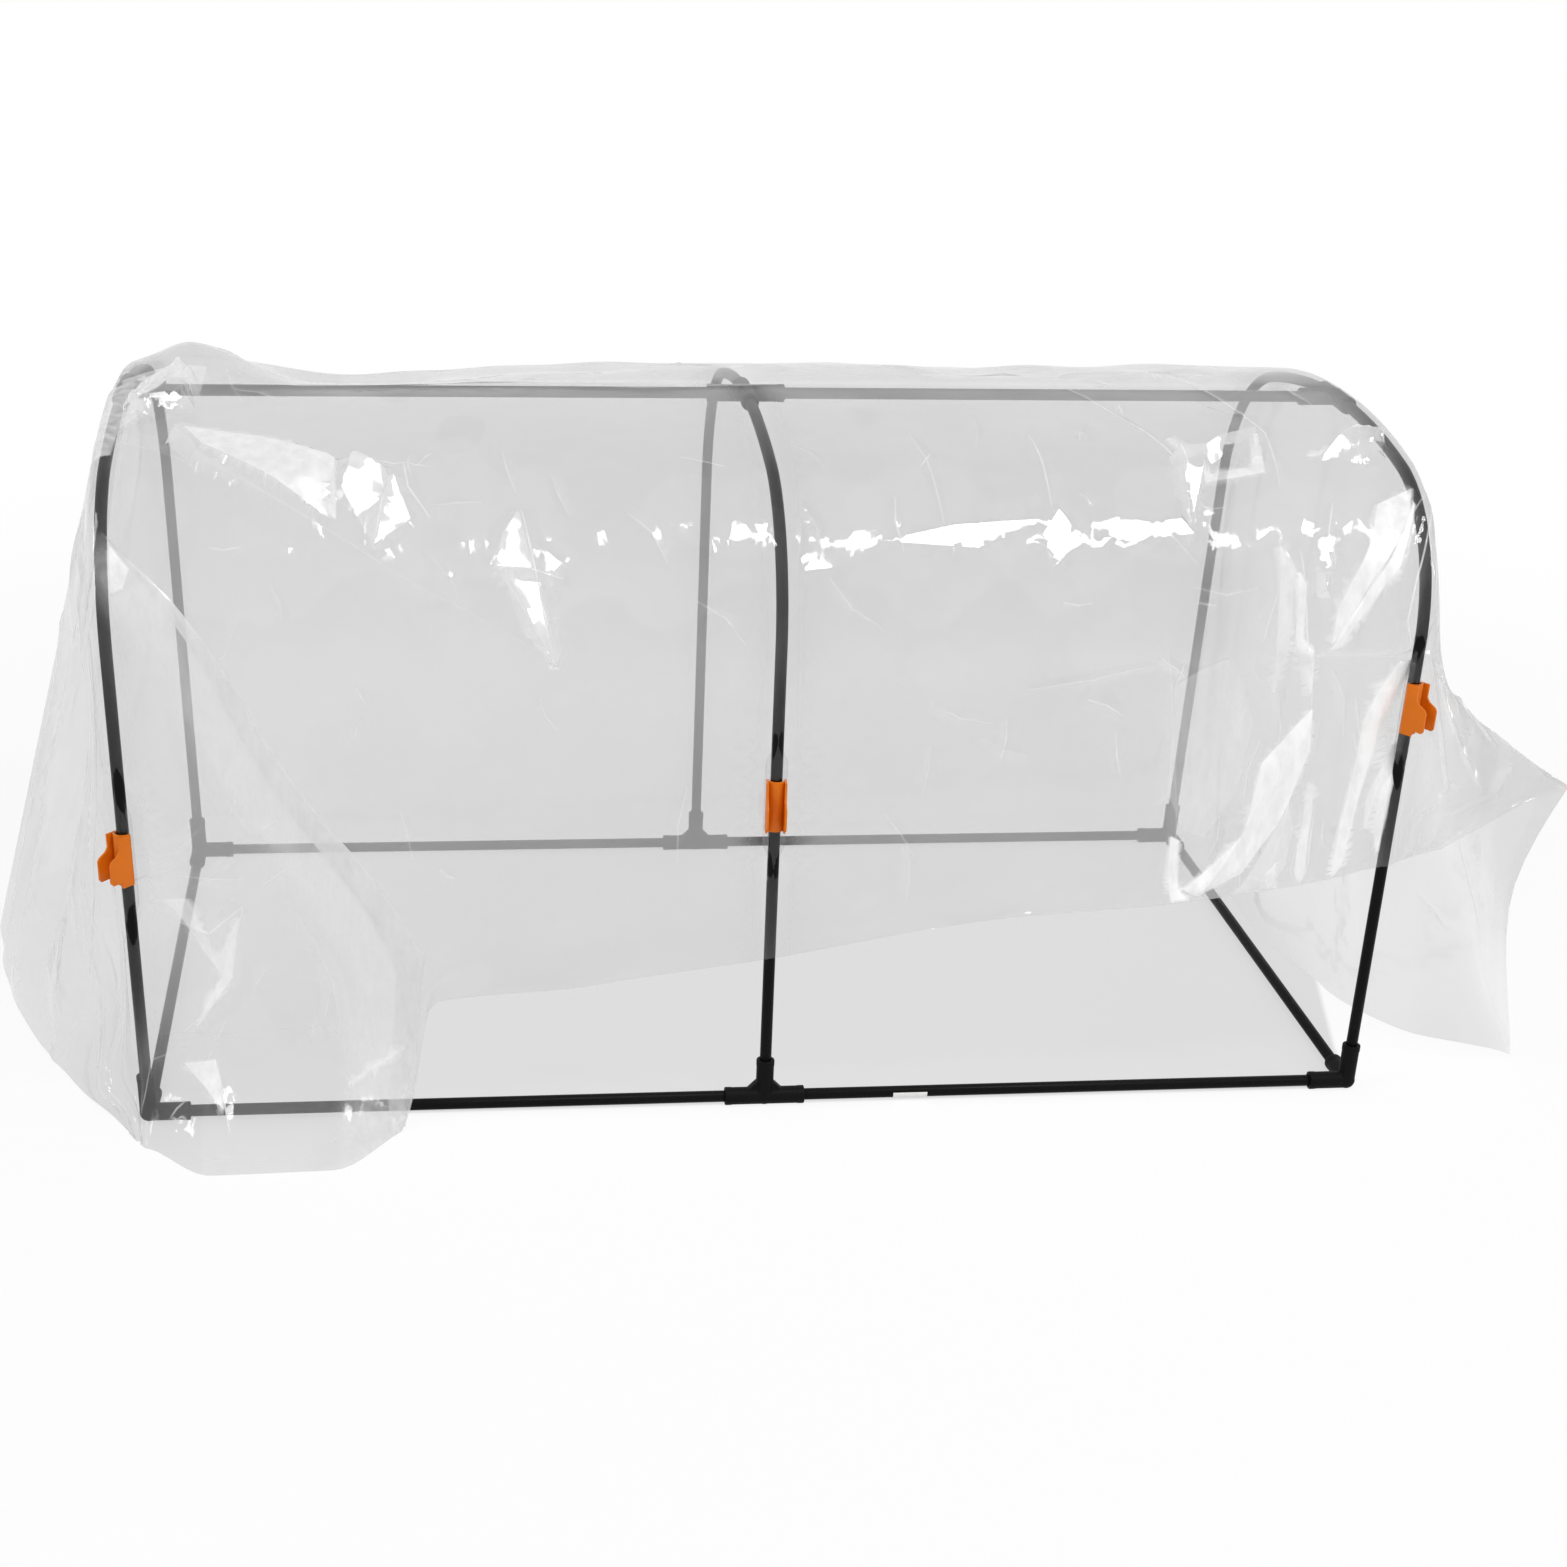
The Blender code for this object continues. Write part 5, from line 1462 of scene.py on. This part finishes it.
def sheet_places(across, along):
    """Places on the flat sheet to build the mesh on, and the lines that its edges keep to."""
    low, high = along[0], along[-1]
    right = across[-1]

    def left_at(v):
        return across[0] - 2 * float(fold_line(v)[1])

    places = []
    lines = []

    def add_line(points, step):
        points = [np.array(point, float) for point in points]
        first = len(places)
        for start, end in zip(points, points[1:]):
            pieces = max(1, int(np.linalg.norm(end - start) / step))
            for piece in range(pieces):
                places.append(start + (end - start) * piece / pieces)
        places.append(points[-1])
        ids = list(range(first, len(places)))
        lines.extend(zip(ids, ids[1:]))
        return ids

    side_runs = [low] + [run for run, _ in CORNER_FOLD if low < run < high] + [high]
    border = [(right, low), (right, high)] + [(left_at(v), v) for v in reversed(side_runs)]
    border_ids = add_line(border + [(right, low)], 0.009)
    places.pop()
    border_ids.pop()
    lines.pop()
    lines.append((border_ids[-1], border_ids[0]))

    inner_low, inner_high = low + 0.004, high - 0.004
    tuck_runs = [v for v in side_runs if v >= 0.285]
    for turns in (1, 2):
        for shift in (-0.002, 0.0, 0.002):
            line = []
            for v in tuck_runs:
                edge, tuck = fold_line(v)
                line.append((float(edge - turns * tuck) + shift, min(max(v, inner_low), inner_high)))
            add_line(line, 0.007)
    for shift in np.arange(-0.018, 0.0281, 0.0028):
        add_line([(BAY + shift, inner_low), (BAY + shift, inner_high)], 0.009)
        upper = [(-BAY - shift, inner_low), (-BAY - shift, 0.284)]
        lower = [(-BAY - shift - 2 * float(fold_line(v)[1]), v) for v in np.linspace(0.36, inner_high, 12)]
        add_line(upper + (lower if shift > -0.01 else []), 0.009)
    for fold in CREASES:
        line = np.array(fold["line"])
        add_line(line, 0.004)
        ways = np.gradient(line, axis=0)
        ways /= np.linalg.norm(ways, axis=1)[:, None]
        aside = np.stack([-ways[:, 1], ways[:, 0]], axis=1)
        for shift in (-fold["width"], -CREASE_RIM, CREASE_RIM, fold["width"]):
            add_line(line + shift * aside, 0.005)
    for outline, _ in PANELS:
        corners = list(on_film(outline))
        add_line(corners + corners[:1], 0.004)
    for outline, _ in PATCHES:
        corners = on_film(outline)
        heart = corners.mean(0)
        reach = np.linalg.norm(corners - heart, axis=1)[:, None]
        for ring in (corners, heart + (corners - heart) * (1 + 1.3 * RIM / reach)):
            add_line(list(ring) + [ring[0]], 0.004)

    step = 0.0095
    rows = np.arange(low + step, high - step * 0.6, step * 0.866)
    for number, v in enumerate(rows):
        start = left_at(v) + step * (0.8 if number % 2 else 1.3)
        xs = np.arange(start, right - step * 0.6, step)
        places.extend(np.stack([xs, np.full(len(xs), v)], axis=1))
    for side in STATION:
        centre = leg_run(CLIP_CENTRE[side])
        for v in np.arange(centre - 0.09, centre + 0.0901, 0.0045):
            shift = -2 * float(fold_line(v)[1]) if side == "left" else 0
            for q in np.arange(-0.030, 0.0301, 0.0016):
                places.append(np.array((STATION[side] * BAY + shift + q, v)))
    return np.array(places), lines, border_ids


def add_film(clear):
    surface, across, along = draped_sheet()
    places, lines, border = sheet_places(across, along)
    verts, _, faces, _, _, _ = delaunay_2d_cdt([Vector(place) for place in places], lines, [border], 1, 1e-5)
    flat = np.array([tuple(vert) for vert in verts])
    v = flat[:, 1]
    u, plies = lay_on_sheet(flat[:, 0], v)

    def normal_at(u, v, small=0.0008):
        over = surface(u + small, v) - surface(u - small, v)
        down = surface(u, v + small) - surface(u, v - small)
        normal = np.cross(down, over)
        return normal / (np.linalg.norm(normal, axis=1)[:, None] + 1e-12)

    points = surface(u, v)
    normal = normal_at(u, v)
    lift = waves(u, v)
    white = np.zeros(len(flat))
    for fold in CREASES:
        rise, sheen_and_whitening = crease_lift(flat, fold)
        lift = lift + rise
        white = np.maximum(white, sheen_and_whitening)
    calm = np.zeros(len(flat))
    for outline, blend in PANELS:
        rise, still = panel_lift(flat, outline, blend, surface, normal_at)
        lift = lift * (1 - still) + rise
        calm = np.maximum(calm, still)
    for outline, whiteness in PATCHES:
        rise, sheen_and_whitening = patch_lift(flat, outline, whiteness)
        lift = lift + rise * (1 - calm)
        white = np.maximum(white, sheen_and_whitening)
    white = np.maximum(white, TUCK_WHITENESS * np.clip(plies, 0, 1))
    off_u = (u - SAG_PLACE[0]) / SAG_REACH[0]
    off_v = (v - SAG_PLACE[1]) / SAG_REACH[1]
    lift = lift - SAG_DEPTH * np.exp(-off_u ** 2 - off_v ** 2)
    room = np.minimum(1, np.minimum(np.abs(np.abs(u) - BAY), np.abs(u)) / 0.03)
    lift = np.where(lift < 0, lift * room, lift)
    over_tube = np.minimum(np.abs(np.abs(u) - BAY), np.abs(u)) / 0.016
    lift = lift - 0.0006 * np.exp(-over_tube ** 2)
    lift = lift + plies * PLY_GAP
    points = points + normal * lift[:, None]
    points = held_by_clips(points, u, v, plies)
    points[:, 2] = np.maximum(points[:, 2], FLOOR)
    mesh = bpy.data.meshes.new("film_sheet")
    mesh.from_pydata(points.tolist(), [], [tuple(face) for face in faces])
    mesh.attributes.new("touch", "FLOAT", "POINT").data.foreach_set("value", nearness_to_tubes(points))
    # White of creases and folds for the film's shader: part whitening of the film, part painted highlight
    mesh.attributes.new("crease_and_sheen", "FLOAT", "POINT").data.foreach_set("value", white)
    mesh.attributes.new("slack", "FLOAT", "POINT").data.foreach_set("value", 1 - 0.9 * calm)
    chart = mesh.uv_layers.new(name="sheet")
    corner_points = np.empty(len(mesh.loops), int)
    mesh.loops.foreach_get("vertex_index", corner_points)
    chart.data.foreach_set("uv", flat[corner_points].ravel())
    mesh.validate()
    film = bpy.data.objects.new("film_sheet", mesh)
    bpy.context.scene.collection.objects.link(film)
    active(film)
    edit_mode()
    select_all()
    bpy.ops.mesh.remove_doubles(threshold=0.00002)
    bpy.ops.mesh.flip_normals()
    object_mode()
    smooth(26)
    settle(film, "film_sheet", clear, "frame", ["film_cover"])


def main():
    set_camera()
    add_floor()
    set_world()
    add_lamps()
    coat = coated_tube_material()
    plastic = moulded_plastic_material()
    orange = orange_material()
    add_tubes(coat)
    add_connectors(plastic)
    for side in STATION:
        add_clip(side, orange)
    add_label(label_material())
    add_film(film_material())
    bpy.context.scene.view_settings.view_transform = "Standard"


main()
